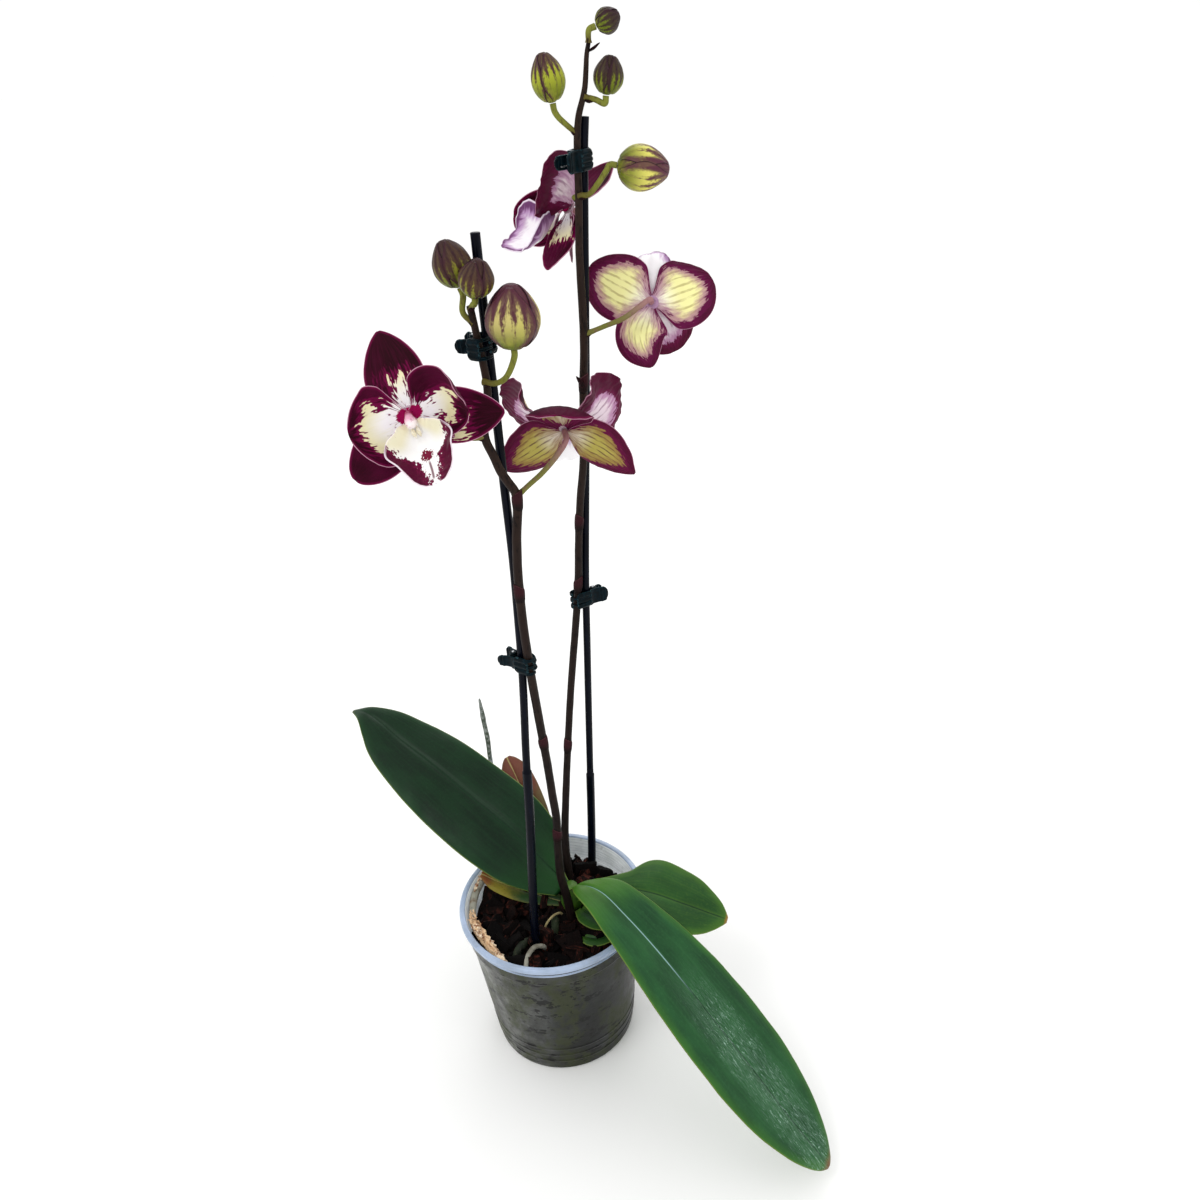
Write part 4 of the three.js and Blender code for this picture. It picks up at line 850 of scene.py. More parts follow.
def veined_back(name, heart, field, flush, vein, rim, vein_share, base_blush=0.0):
    """Under face of a tepal: pale field with fanning purple veins and a mottled wine margin."""
    made, tree = finish_of(
        name, Roughness=0.5, IOR=1.4, Specular_IOR_Level=0.15, Subsurface_Weight=0.08,
        Subsurface_Radius=(1.0, 0.8, 0.7), Subsurface_Scale=0.003,
    )
    _, across, edge = carried(tree, "place")
    along, aside, seed = carried(tree, "flat")
    reach = add(tree, "Attribute", attribute_name="reach", out="Fac")
    rim_width = add(tree, "Attribute", attribute_name="rim", out="Fac")
    drift = laid_out(tree, (along, 0.16), (aside, 0.16), seed)
    fan = add(tree, "Math MULTIPLY_ADD", across, 30.0, add(tree, "Math MULTIPLY", drift, 3.0))
    # Veins about 2 mm apart, a little coarser than real so that they show
    line = add(tree, "MapRange", add(tree, "Math SINE", fan), 0.2, 1.0)
    broken = laid_out(tree, (across, 9.0), (along, 0.14), seed, 3.0)
    line = add(tree, "Math MULTIPLY", line, add(tree, "MapRange", broken, 0.34, 0.56))
    line = add(tree, "Math MULTIPLY", line, add(tree, "MapRange", reach, 5.0, 18.0, 0.12, 1.0))
    # Wine flush that the rim sheds inwards between the veins
    ragged = add(tree, "Math SUBTRACT", rim_width, edge)
    fingers = laid_out(tree, (across, 10.0), (along, 0.2), seed, 3.0, 0.6)
    inner = add(tree, "Math ADD", ragged, add(tree, "Math MULTIPLY_ADD", fingers, -9.0, 4.5))
    colour = coat(tree, heart, field, reach, 4.0, 21.0)
    colour = add(tree, "Mix", add(tree, "Math MULTIPLY", line, vein_share), colour, vein)
    colour = coat(tree, colour, flush, inner, -6.5, -0.3, 0.0, 0.8)
    colour = coat(tree, colour, rim, inner, -0.7, 0.5)
    colour = coat(tree, colour, "#3a0219", inner, 0.8, 4.2, 0.0, 0.6)
    colour = coat(tree, colour, "#ad7fa8", reach, 4.5, 2.0, 0.0, base_blush)
    colour = coat(tree, colour, "#cf97b2", edge, 0.36, 0.14, 0.0, 0.55)
    return dressed(made, colour, add(tree, "Math SINE", fan), 0.07)


def lip_skin(name, ground, side_tint):
    """Waxy lip: white keel, pale-yellow side lobes, and wine that crowds in from the margin."""
    made, tree = finish_of(
        name, Roughness=0.4, IOR=1.42, Specular_IOR_Level=0.14, Subsurface_Weight=0.1,
        Subsurface_Radius=(1.0, 0.85, 0.8), Subsurface_Scale=0.003,
    )
    share, across, edge = carried(tree, "place")
    along, aside, seed = carried(tree, "flat")
    wide = add(tree, "Math ABSOLUTE", across)
    off = add(tree, "Math ABSOLUTE", aside)
    side = add(
        tree, "Math MULTIPLY",
        add(tree, "MapRange", wide, 0.25, 0.7),
        add(tree, "MapRange", share, 0.42, 0.24, 0.0, 0.75),
    )
    colour = add(tree, "Mix", side, ground, side_tint)
    fingers = laid_out(tree, (aside, 0.55), (along, 0.34), seed, 2.0, 0.6)
    teeth = laid_out(tree, (aside, 1.4), (along, 0.9), seed, 1.0)
    # On the mid lobe the wine leaves only a white keel; on the side lobes it is a narrow hem
    reach_in = add(tree, "Math SUBTRACT", add(tree, "MapRange", share, 0.3, 0.6, 2.6, 9.5), edge)
    keel_room = add(tree, "MapRange", share, 0.5, 0.98, -4.2, -1.0)
    from_keel = add(tree, "Math ADD", off, keel_room)
    band = add(tree, "Math MINIMUM", reach_in, from_keel)
    band = add(tree, "Math MULTIPLY_ADD", fingers, 7.0, add(tree, "Math ADD", band, -3.5))
    band = add(tree, "Math MULTIPLY_ADD", teeth, 5.0, add(tree, "Math ADD", band, -2.5))
    band = add(tree, "Math SUBTRACT", band, add(tree, "MapRange", share, 0.36, 0.2, 0.0, 4.0))
    colour = coat(tree, colour, "#680636", band, -0.3, 0.3)
    colour = coat(tree, colour, "#450224", band, 1.0, 3.0, 0.0, 0.7)
    line = add(
        tree, "Math MULTIPLY",
        add(tree, "MapRange", off, 0.55, 0.2),
        add(tree, "MapRange", share, 0.52, 0.6),
    )
    line = add(tree, "Math MULTIPLY", line, add(tree, "MapRange", share, 0.94, 0.86))
    colour = add(tree, "Mix", add(tree, "Math MULTIPLY", line, 0.85), colour, "#5d0a34")
    ahead = add(tree, "Math SUBTRACT", along, 16.0)
    apart = add(
        tree, "Math SQRT",
        add(
            tree, "Math ADD",
            add(tree, "Math MULTIPLY", off, off),
            add(tree, "Math MULTIPLY", ahead, ahead),
        ),
    )
    spot = add(tree, "MapRange", add(tree, "Math MULTIPLY_ADD", teeth, 5.0, apart), 5.3, 4.7)
    colour = add(tree, "Mix", spot, colour, "#72042f")
    hem = add(
        tree, "Math MULTIPLY",
        add(tree, "MapRange", edge, 0.6, 0.25),
        add(tree, "MapRange", share, 0.25, 0.45, 0.15, 0.95),
    )
    colour = add(tree, "Mix", hem, colour, "#f3e4ec")
    return dressed(made, colour, fingers, 0.3)


def lip_outside():
    """Under side of the lip: white, flushed violet towards the margin along soft streaks."""
    made, tree = finish_of(
        "waxy lip back", Roughness=0.42, IOR=1.42, Specular_IOR_Level=0.14, Subsurface_Weight=0.1,
        Subsurface_Radius=(1.0, 0.85, 0.9), Subsurface_Scale=0.003,
    )
    _, _, edge = carried(tree, "place")
    along, aside, seed = carried(tree, "flat")
    streak = laid_out(tree, (aside, 0.8), (along, 0.16), seed, 3.0)
    deep = add(tree, "Math MULTIPLY_ADD", streak, 5.0, add(tree, "Math MULTIPLY", edge, -1.0))
    colour = coat(tree, "#fbf8fb", "#a562ac", deep, -3.6, 0.6, 0.0, 0.8)
    colour = coat(tree, colour, "#561050", deep, -0.2, 1.6, 0.0, 0.85)
    colour = coat(tree, colour, "#efe0f0", edge, 0.5, 0.2, 0.0, 0.9)
    return dressed(made, colour, streak, 0.2)


def callus_skin():
    """Callus on the lip: firm and glossy, cream."""
    made, tree = finish_of("callus of the lip", Roughness=0.25, IOR=1.45, Coat_Weight=0.3)
    colour = coat(tree, "#efe6c8", "#faf5e8", patches(tree, 1.2), 0.42, 0.55)
    return dressed(made, colour)


def column_skin():
    """Column: wine at its foot, pinkish white over the anther cap, waxy."""
    made, tree = finish_of(
        "waxy column", Roughness=0.35, IOR=1.42, Subsurface_Weight=0.15,
        Subsurface_Radius=(1.0, 0.8, 0.8), Subsurface_Scale=0.002,
    )
    share, _, _ = carried(tree, "place")
    colour = coat(tree, "#98074c", "#e3a9bf", share, 0.35, 0.62)
    colour = coat(tree, colour, "#f7ecec", share, 0.7, 0.85)
    colour = coat(tree, colour, "#b8557f", patches(tree, 0.9, 4.0), 0.56, 0.64, 0.0, 0.5)
    return dressed(made, colour)


def bud_skin(name, green, tip, blush, stripe, margin=0.34):
    """Tight bud sepals: waxy green-yellow, purple-brown along the seams, the veins and the tip, with
    painted shade where one sepal lies over the next.
    """
    made, tree = finish_of(
        f"waxy skin of {name}", Roughness=0.42, IOR=1.42, Specular_IOR_Level=0.16, Subsurface_Weight=0.05,
        Subsurface_Radius=(1.0, 1.0, 0.3), Subsurface_Scale=0.002,
    )
    share, turn, seam = carried(tree, "place")
    patch = patches(tree, 5.0, 2.0, 3.0)
    around = add(tree, "CombineXYZ", add(tree, "Math COSINE", turn), add(tree, "Math SINE", turn), share)
    speck = add(tree, "TexNoise", around, 14.0)
    colour = coat(tree, "#5f6a18", green, share, 0.05, 0.6)
    colour = coat(tree, colour, "#c3bf52", patch, 0.45, 0.7, 0.0, 0.4)
    # Veins run from base to tip, fifteen round the bud
    line = add(tree, "MapRange", add(tree, "Math SINE", add(tree, "Math MULTIPLY", turn, 15.0)), 0.1, 0.9)
    line = add(tree, "Math MULTIPLY", line, add(tree, "MapRange", speck, 0.38, 0.56))
    line = add(tree, "Math MULTIPLY", line, add(tree, "MapRange", share, 0.2, 0.65, stripe * 0.35, stripe))
    colour = add(tree, "Mix", line, colour, tip)
    cover = add(tree, "Math MULTIPLY_ADD", speck, 0.7, share)
    cover = add(tree, "Math ADD", cover, add(tree, "Math MULTIPLY", patch, 0.5))
    # The purple cap comes down the veins first, so that green shows between them
    veins = add(tree, "Math MULTIPLY", add(tree, "Math SINE", add(tree, "Math MULTIPLY", turn, 15.0)), 0.16)
    cover = add(tree, "Math ADD", cover, veins)
    colour = coat(tree, colour, tip, cover, 1.6 - blush, 1.9 - blush, 0.0, 0.9)
    colour = coat(tree, colour, "#2a141c", cover, 2.0 - blush, 2.4 - blush, 0.0, 0.6)
    # Each sepal has a purple margin, mottled inwards
    broken = add(tree, "Math MULTIPLY_ADD", speck, 0.6, add(tree, "Math SUBTRACT", seam, 0.3))
    dark = add(
        tree, "Math MULTIPLY",
        add(tree, "MapRange", broken, margin, margin * 0.4),
        add(tree, "MapRange", share, 0.0, 0.16),
    )
    colour = add(tree, "Mix", add(tree, "Math MULTIPLY", dark, 0.92), colour, tip)
    # Painted shade: near-black along each sepal's margin, where it lies over the next
    colour = coat(tree, colour, "#2c1219", seam, 0.1, 0.03, 0.0, 0.7)
    colour = coat(tree, colour, "#2c1420", seam, 0.06, 0.01, 0.0, 0.7)
    return dressed(made, colour, speck, 0.2)


def leaf_skin(name, flesh, deep, light, base, tip, thin_green, rib_highlight=0.0, scuffs=0.0, gloss=0.36):
    """Thick leaf with a waxy cuticle: a broad soft highlight over fine lengthwise veins."""
    made, tree = finish_of(
        name, Roughness=gloss, IOR=1.45, Specular_IOR_Level=0.18, Subsurface_Weight=0.03,
        Subsurface_Radius=(0.4, 1.0, 0.2), Subsurface_Scale=0.002,
    )
    share, across, edge = carried(tree, "place")
    along, aside, seed = carried(tree, "flat")
    cloud = laid_out(tree, (along, 0.03), (aside, 0.06), seed, 4.0)
    # Lengthwise veins, drawn about 3 mm apart so that they show
    streak = laid_out(tree, (across, 16.0), (along, 0.02), seed, 2.0)
    mottle = laid_out(tree, (along, 0.55), (aside, 0.55), seed, 2.0)
    colour = coat(tree, flesh, deep, cloud, 0.32, 0.68)
    colour = coat(tree, colour, light, streak, 0.4, 0.75, 0.0, 0.2)
    colour = coat(tree, colour, light, mottle, 0.5, 0.72, 0.0, 0.16)
    colour = coat(
        tree, colour, base, add(tree, "Math MULTIPLY_ADD", cloud, 0.1, share), 0.3, 0.04, 0.0, 0.9
    )
    # Midrib: painted shade darkens its groove, and a painted highlight lies along the paler shoulder beside
    # it
    off = add(tree, "Math ABSOLUTE", aside)
    groove_shade = add(tree, "MapRange", off, 0.9, 0.3)
    colour = add(tree, "Mix", add(tree, "Math MULTIPLY", groove_shade, 0.7), colour, "#0f2a18")
    shoulder_highlight = add(
        tree, "Math MULTIPLY", add(tree, "MapRange", off, 2.2, 1.0), add(tree, "MapRange", off, 0.5, 1.0)
    )
    colour = add(tree, "Mix", add(tree, "Math MULTIPLY", shoulder_highlight, 0.3), colour, light)
    # Painted highlight: a pale cyan line along the midrib over the inner half of the leaf
    if rib_highlight:
        near = add(
            tree, "Math MULTIPLY",
            add(tree, "MapRange", off, 0.7, 0.3),
            add(tree, "MapRange", share, 0.5, 0.36),
        )
        near = add(tree, "Math MULTIPLY", near, add(tree, "MapRange", share, 0.03, 0.1))
        colour = add(tree, "Mix", add(tree, "Math MULTIPLY", near, rib_highlight), colour, "#9cc4c4")
    # Light shines through the thinner margin, which is yellower
    thin = add(tree, "Math MULTIPLY_ADD", cloud, 6.0, edge)
    colour = coat(tree, colour, thin_green, thin, 10.0, 3.0, 0.0, 0.45)
    colour = coat(tree, colour, "#73853a", edge, 0.9, 0.3, 0.0, 0.6)
    end = add(tree, "MapRange", add(tree, "Math MULTIPLY_ADD", cloud, 0.05, share), 1.0, 1.022)
    colour = add(tree, "Mix", end, colour, tip)
    if scuffs:
        # Scratches run along the outer half in a fine net, about 0.5 mm wide
        net = laid_out(tree, (along, 0.09), (aside, 0.5), seed, 2.0, 0.6)
        net = add(tree, "Math ABSOLUTE", add(tree, "Math SUBTRACT", net, 0.5))
        scratch = add(
            tree, "Math MULTIPLY",
            add(tree, "MapRange", net, 0.014, 0.006),
            add(tree, "MapRange", share, 0.42, 0.6),
        )
        kept = add(tree, "MapRange", laid_out(tree, (along, 0.12), (aside, 1.0), seed, 2.0), 0.44, 0.56)
        scratch = add(tree, "Math MULTIPLY", scratch, kept)
        bruised = add(
            tree, "MapRange",
            add(tree, "Math MULTIPLY_ADD", cloud, 12.0, add(tree, "Math ABSOLUTE", aside)),
            25.0,
            12.0,
        )
        hair = laid_out(tree, (along, 0.2), (aside, 2.6), seed, 4.0, 0.7)
        haze = add(
            tree, "Math MULTIPLY",
            add(tree, "MapRange", hair, 0.42, 0.66, 0.0, 0.3),
            add(tree, "MapRange", share, 0.36, 0.62),
        )
        scratch = add(tree, "Math MULTIPLY", add(tree, "Math MAXIMUM", scratch, haze), bruised)
        colour = add(tree, "Mix", add(tree, "Math MULTIPLY", scratch, scuffs), colour, "#9dbfae")
    return dressed(
        made, colour, add(tree, "Math ADD", streak, add(tree, "Math MULTIPLY", mottle, 0.5)), 0.14
    )


def old_leaf_skin(name, green, yellow, brown, turned, hem=0.8):
    """Leaf that is dying back: green left at the base, then yellow, then leathery red-brown."""
    made, tree = finish_of(name, Roughness=0.55, IOR=1.45, Specular_IOR_Level=0.35)
    share, _, edge = carried(tree, "place")
    along, aside, seed = carried(tree, "flat")
    cloud = laid_out(tree, (along, 0.06), (aside, 0.1), seed, 4.0)
    age = add(tree, "Math MULTIPLY_ADD", cloud, 0.6, add(tree, "Math ADD", share, -0.3))
    colour = coat(tree, green, yellow, age, turned - 0.35, turned - 0.1)
    colour = coat(tree, colour, brown, age, turned - 0.02, turned + 0.22)
    colour = coat(tree, colour, yellow, edge, 1.6, 0.4, 0.0, hem)
    colour = coat(tree, colour, "#c9c07a", add(tree, "Math ABSOLUTE", aside), 0.9, 0.3, 0.0, 0.5)
    fleck = laid_out(tree, (along, 0.8), (aside, 0.8), seed, 2.0)
    colour = coat(tree, colour, "#3a2416", fleck, 0.62, 0.7, 0.0, 0.7)
    return dressed(made, colour, cloud, 0.8)


def sheath_skin():
    """Leaf bases about the crown: smooth, bright yellow-green."""
    made, tree = finish_of("leaf sheath", Roughness=0.42, IOR=1.45)
    cloud = patches(tree, 9.0, 1.0)
    colour = coat(tree, "#2f5a18", "#54781e", cloud, 0.4, 0.62)
    return dressed(made, colour, cloud, 0.5)


def stem_skin(name, ground, blush, fleck, low=0.0, high=1.0, lift=0.5):
    """Stem skin: waxy, with a darker flush that breaks into flecks half a millimetre across."""
    made, tree = finish_of(name, Roughness=0.5, IOR=1.42, Specular_IOR_Level=0.12)
    share, _, _ = carried(tree, "place")
    cloud = patches(tree, 9.0, 3.0)
    colour = coat(tree, ground, blush, share, low, high)
    colour = coat(tree, colour, fleck, cloud, 0.35, 0.65, 0.0, lift * 0.5)
    # Flecks are drawn at 0.8 mm so that they show
    speck = patches(tree, 0.8, 5.0, 2.0, 0.5, (1, 1, 2.2))
    colour = coat(tree, colour, fleck, speck, 0.54, 0.66, 0.0, lift)
    return dressed(made, colour, speck, 0.12)


def sheath_paper():
    """Bract at a stem node: thin, wine-coloured, with a pale dry rim."""
    made, tree = finish_of("papery bract", Roughness=0.65, IOR=1.4, Specular_IOR_Level=0.12)
    share, across, _ = carried(tree, "place")
    colour = coat(tree, "#1a1010", "#33151b", share, 0.2, 0.7)
    colour = coat(tree, colour, "#2c1818", patches(tree, 1.4, 2.0), 0.5, 0.7, 0.0, 0.5)
    colour = coat(tree, colour, "#6a4246", share, 0.9, 0.98, 0.0, 0.5)
    return dressed(made, colour, add(tree, "Math SINE", add(tree, "Math MULTIPLY", across, 120.0)), 0.08)


def coated_steel():
    """Garden stake: steel rod in smooth navy-black vinyl with long soft highlights."""
    made, tree = finish_of("vinyl coated steel", Roughness=0.26, IOR=1.5, Specular_IOR_Level=0.08)
    scuff = patches(tree, 1.6, 1.0, 4.0, 0.65, (1, 1, 6))
    colour = coat(tree, "#02040e", "#0a0f1e", scuff, 0.45, 0.7, 0.0, 0.7)
    return dressed(made, colour, scuff, 0.05, roughness=add(tree, "MapRange", scuff, 0.4, 0.75, 0.22, 0.4))


def moulded_nylon():
    """Clip halves: moulded teal-black nylon, satin, with painted highlights along the sharp edges."""
    made, tree = finish_of("moulded nylon", Roughness=0.34, IOR=1.53, Specular_IOR_Level=0.07)
    grain = patches(tree, 1.2, 2.0, 4.0, 0.6)
    wear_and_edge_highlight = add(tree, "NewGeometry")
    colour = coat(tree, "#000a0f", "#011820", grain, 0.4, 0.7)
    # Painted highlight: paler teal along the sharp moulded edges
    colour = coat(tree, colour, "#3c6670", wear_and_edge_highlight, 0.55, 0.62, 0.0, 0.4)
    return dressed(made, colour, grain, 0.06)


def spring_steel():
    """Bright drawn spring wire."""
    made, tree = finish_of("drawn spring steel", Roughness=0.28, Metallic=1.0)
    grain = patches(tree, 0.9, 2.0, 3.0)
    colour = coat(tree, "#c3c6c8", "#8f9498", grain, 0.4, 0.7)
    return dressed(made, colour, roughness=add(tree, "MapRange", grain, 0.3, 0.8, 0.2, 0.42))


def pine_bark():
    """Broken pine bark: dull and dark, reddish in the freshly split layers, with painted highlights along
    the sharp edges.
    """
    made, tree = finish_of("composted pine bark", Roughness=0.86, IOR=1.45, Specular_IOR_Level=0.12)
    tint = add(tree, "Attribute", attribute_name="tint", out="Fac")
    flake = add(tree, "Attribute", attribute_name="flake")
    layers = add(tree, "Mapping", flake, (0.16, 0.3, 1.6))
    layer = add(tree, "TexNoise", layers, 1.0, 5.0)
    grit = patches(tree, 1.1, 3.0, 5.0, 0.7)
    colour = coat(tree, "#050303", "#170b08", tint, 0.2, 1.0)
    split = add(
        tree, "Math MULTIPLY",
        add(tree, "MapRange", layer, 0.5, 0.62),
        add(tree, "MapRange", tint, 0.45, 0.9),
    )
    colour = add(tree, "Mix", add(tree, "Math MULTIPLY", split, 0.85), colour, "#54281f")
    colour = coat(tree, colour, "#050303", grit, 0.5, 0.7, 0.0, 0.6)
    pale = add(
        tree, "Math MULTIPLY",
        add(tree, "MapRange", grit, 0.66, 0.74),
        add(tree, "MapRange", tint, 0.5, 0.9),
    )
    colour = add(tree, "Mix", add(tree, "Math MULTIPLY", pale, 0.7), colour, "#78604e")
    # Painted highlight: lighter along the chips' sharp edges
    edge_highlight = add(tree, "MapRange", add(tree, "NewGeometry"), 0.52, 0.6, 0.0, 0.6)
    colour = add(tree, "Mix", edge_highlight, colour, "#64504a")
    return dressed(made, colour, add(tree, "Math ADD", grit, layer), 0.9)


def velamen(name, ground, stain, tip_colour, tip_from):
    """Spongy root skin: matt, pale when dry, stained in patches, green where it is alive."""
    made, tree = finish_of(name, Roughness=0.8, IOR=1.4)
    share, _, _ = carried(tree, "place")
    patch = patches(tree, 5.0, 2.0, 4.0, 0.6)
    speck = patches(tree, 1.0, 5.0, 3.0, 0.6)
    colour = coat(tree, ground, stain, patch, 0.42, 0.66)
    colour = coat(tree, colour, "#4b4336", speck, 0.55, 0.7, 0.0, 0.6)
    peeled = add(
        tree, "MapRange",
        add(tree, "Math MULTIPLY_ADD", patch, 0.5, share),
        tip_from + 0.2,
        tip_from + 0.3,
    )
    wear_and_edge_highlight = coat(tree, tip_colour, stain, speck, 0.46, 0.62)
    colour = add(tree, "Mix", peeled, colour, wear_and_edge_highlight)
    return dressed(made, colour, add(tree, "Math ADD", speck, patch), 0.6)


def frosted_wall():
    """Frosted polypropylene wall: bark and roots show through it as soft grey clouds.

    The wall is drawn as it looks from outside, with algae film inside it and dark bark specks.
    """
    made, tree = finish_of(
        "frosted polypropylene wall", Roughness=0.4, IOR=1.49, Specular_IOR_Level=0.16
    )
    aside, _, height = add(tree, "SeparateXYZ", add(tree, "TexCoord"))
    haze = patches(tree, 30.0, 1.0, 5.0, 0.6)
    cloud = patches(tree, 11.0, 4.0, 6.0, 0.7)
    film = patches(tree, 13.0, 9.0, 6.0, 0.7, (1, 1, 1.5))
    chips = patches(tree, 8.0, 6.0, 5.0, 0.72, (1.4, 1.4, 0.75))
    speck = patches(tree, 2.8, 8.0, 3.0, 0.6, (1.3, 1.3, 0.9))
    colour = coat(tree, "#111211", "#2b2d2e", haze, 0.34, 0.66)
    colour = coat(tree, colour, "#191a18", cloud, 0.4, 0.66, 0.0, 0.75)
    # Paler mist high up, where less bark lies against the wall, and down the left side
    left = add(tree, "MapRange", aside, 0.0, -0.048)
    high = add(tree, "MapRange", height, 0.058, 0.092)
    misty = add(
        tree, "Math MAXIMUM",
        add(tree, "Math MULTIPLY", left, 0.95),
        add(tree, "Math MULTIPLY", high, 0.2),
    )
    misty = add(tree, "Math MULTIPLY", misty, add(tree, "MapRange", cloud, 0.3, 0.62, 1.0, 0.15))
    colour = add(tree, "Mix", misty, colour, "#7c7e79")
    colour = coat(tree, colour, "#353b1e", film, 0.46, 0.6, 0.0, 0.65)
    colour = coat(tree, colour, "#070706", chips, 0.56, 0.585, 0.0, 0.9)
    colour = coat(tree, colour, "#060606", speck, 0.64, 0.67, 0.0, 0.9)
    return dressed(made, colour, cloud, 0.3, roughness=add(tree, "MapRange", film, 0.4, 0.7, 0.3, 0.55))


def clear_rim():
    """The thick rim and bare collar: cloudy clear polypropylene, bluish white where it is thick."""
    made, tree = finish_of(
        "clear polypropylene rim", Roughness=0.22, IOR=1.49, Subsurface_Weight=0.3,
        Subsurface_Radius=(0.8, 0.9, 1.0), Subsurface_Scale=0.003,
    )
    haze = patches(tree, 14.0, 3.0, 4.0, 0.6)
    colour = coat(tree, "#a3b3cb", "#8795a8", haze, 0.35, 0.7)
    return dressed(made, colour, haze, 0.1)


def inner_wall():
    """Inside of the wall above the bark: pale grey, with water marks.

    The faint glow of its own is the daylight that comes in through the plastic.
    """
    made, tree = finish_of(
        "frosted polypropylene inside", Roughness=0.4, IOR=1.49, Subsurface_Weight=0.2,
        Subsurface_Radius=(1.0, 1.0, 1.0), Subsurface_Scale=0.002,
        Emission_Color=paint("#dfe6ec"), Emission_Strength=0.22,
    )
    haze = patches(tree, 10.0, 5.0, 4.0, 0.6)
    drops = patches(tree, 3.0, 7.0, 2.0, 0.5)
    colour = coat(tree, "#e4e7e6", "#bfc3bf", haze, 0.35, 0.68)
    colour = coat(tree, colour, "#8f9488", drops, 0.62, 0.7, 0.0, 0.5)
    # Fine turned lines of the mould, 2.4 mm apart
    height = add(tree, "SeparateXYZ", add(tree, "TexCoord"))[2]
    lines = add(tree, "Math SINE", add(tree, "Math MULTIPLY", height, 2 * math.pi / (2.4 * MM)))
    colour = coat(tree, colour, "#7d8482", lines, 0.7, 0.95, 0.0, 0.45)
    return dressed(made, colour)


def studio_floor():
    return finish_of("painted studio floor", Roughness=0.95, Base_Color=paint("#fbfbfa"))[0]


FROSTED_WALL = frosted_wall()
CLEAR_RIM = clear_rim()
INNER_WALL = inner_wall()
PINE_BARK = pine_bark()
GREY_VELAMEN = velamen("dry velamen", "#98968a", "#6f6b5e", "#3a4634", 0.86)
PEELED_VELAMEN = velamen("peeled velamen", "#9b998c", "#6a4a30", "#d9b790", 0.55)
ROOT_PAPER = velamen("dead root paper", "#e3c39c", "#8a5430", "#f0dcc0", 0.5)
AERIAL_SKIN = velamen("silvery velamen", "#b2bac2", "#868c88", "#434c40", 0.62)
SLIVER_SKIN = velamen("dead sliver", "#a3956a", "#6f6340", "#b9ab80", 0.8)
GREEN_VELAMEN = velamen("living velamen", "#1d2912", "#10170a", "#2b3216", 0.9)
LEAF_SHEATH = sheath_skin()
LEFT_LEAF = leaf_skin(
    "dark leaf", "#0c2a15", "#081f10", "#143a1f", "#174019", "#3f4f2c", "#16401c", gloss=0.38
)
RIGHT_LEAF = leaf_skin(
    "bright leaf", "#1f5029", "#153d20", "#33683a", "#4f7f1c", "#6f4a26", "#40741f",
    rib_highlight=0.75, scuffs=0.7, gloss=0.42,
)
SMALL_LEAF = leaf_skin(
    "small leaf", "#285320", "#1a4018", "#4a6e26", "#4a7a26", "#8a6a2c", "#4c7420", gloss=0.42
)
LOW_LEAF = leaf_skin(
    "low leaf", "#1c4420", "#123217", "#3c6428", "#4c7022", "#7f7426", "#3c6420", gloss=0.42
)
LEAF_BACK = leaf_skin(
    "leaf back", "#3c6233", "#33552e", "#54753d", "#6f883c", "#7a6c34", "#5c7a34", gloss=0.45
)
OLD_UPRIGHT = old_leaf_skin("browned leaf", "#3a4228", "#6a5a38", "#6a3828", 0.6, 0.3)
YELLOWING = old_leaf_skin("yellowing leaf", "#1f3f16", "#857a26", "#7a4420", 0.75, 0.2)
COATED_STEEL = coated_steel()
STEM_SKIN = stem_skin("dark stem skin", "#1d1513", "#2c1f19", "#0c0809", lift=0.7)
BUD_PEDICEL_SKIN = stem_skin("bud pedicel skin", "#5a5222", "#7d8234", "#463026", 0.0, 0.6, 0.5)
BLOOM_PEDICEL_SKIN = stem_skin("bloom pedicel skin", "#6c7030", "#a5767c", "#7a4c54", 0.35, 0.95, 0.4)
NODE_SHEATH = sheath_paper()
PETAL_FACE = velvet_petal("velvet petal face", "#4a0228", "#26000d", "#7a0646", "#e9e2b4", "#fbf8fa")
LILAC_BACK = veined_back("lilac tepal back", "#f8f4f0", "#e6d4de", "#a8689a", "#73285c", "#5e0838", 0.6)
# Painted shade: the pale yellow back darkened to a dull olive field, as it looks in shade
SHADED_YELLOW_BACK = veined_back(
    "yellow tepal back in painted shade", "#fbf4f2", "#b0a452", "#8b6a3c", "#4c1f34", "#5e0838", 0.8, 0.5
)
LEMON_BACK = veined_back(
    "lemon tepal back", "#fffdf2", "#f0eca6", "#9c5884", "#948048", "#5c0a3c", 0.55, 0.8
)
LIP_FACE = lip_skin("waxy lip face", "#fdfcfc", "#f0e9bc")
LIP_BACK = lip_outside()
CALLUS = callus_skin()
COLUMN_SKIN = column_skin()
CLIP_NYLON = moulded_nylon()
SPRING_STEEL = spring_steel()
STUDIO_FLOOR = studio_floor()
BUD_SKINS = {
    "bud_1": bud_skin("bud 1", "#6f7a24", "#331a24", 0.95, 0.6),
    "bud_2": bud_skin("bud 2", "#9fa530", "#462430", 0.55, 0.75),
    "bud_3": bud_skin("bud 3", "#767f20", "#321a22", 0.85, 0.7),
    "bud_4": bud_skin("bud 4", "#ddd76a", "#572a3c", 0.62, 0.8, 0.55),
    "bud_5": bud_skin("bud 5", "#8c882e", "#3c1c26", 0.9, 0.6),
    "bud_6": bud_skin("bud 6", "#8f8a30", "#3e1e28", 0.85, 0.6),
    "bud_7": bud_skin("bud 7", "#bfb26e", "#4f2434", 0.55, 0.75, 0.66),
}
SEPAL_BACKS = {"a": LILAC_BACK, "b": SHADED_YELLOW_BACK, "c": LEMON_BACK, "d": SHADED_YELLOW_BACK}
PETAL_BACKS = {"a": LILAC_BACK, "b": LILAC_BACK, "c": LILAC_BACK, "d": LILAC_BACK}


# Pot, bark and roots


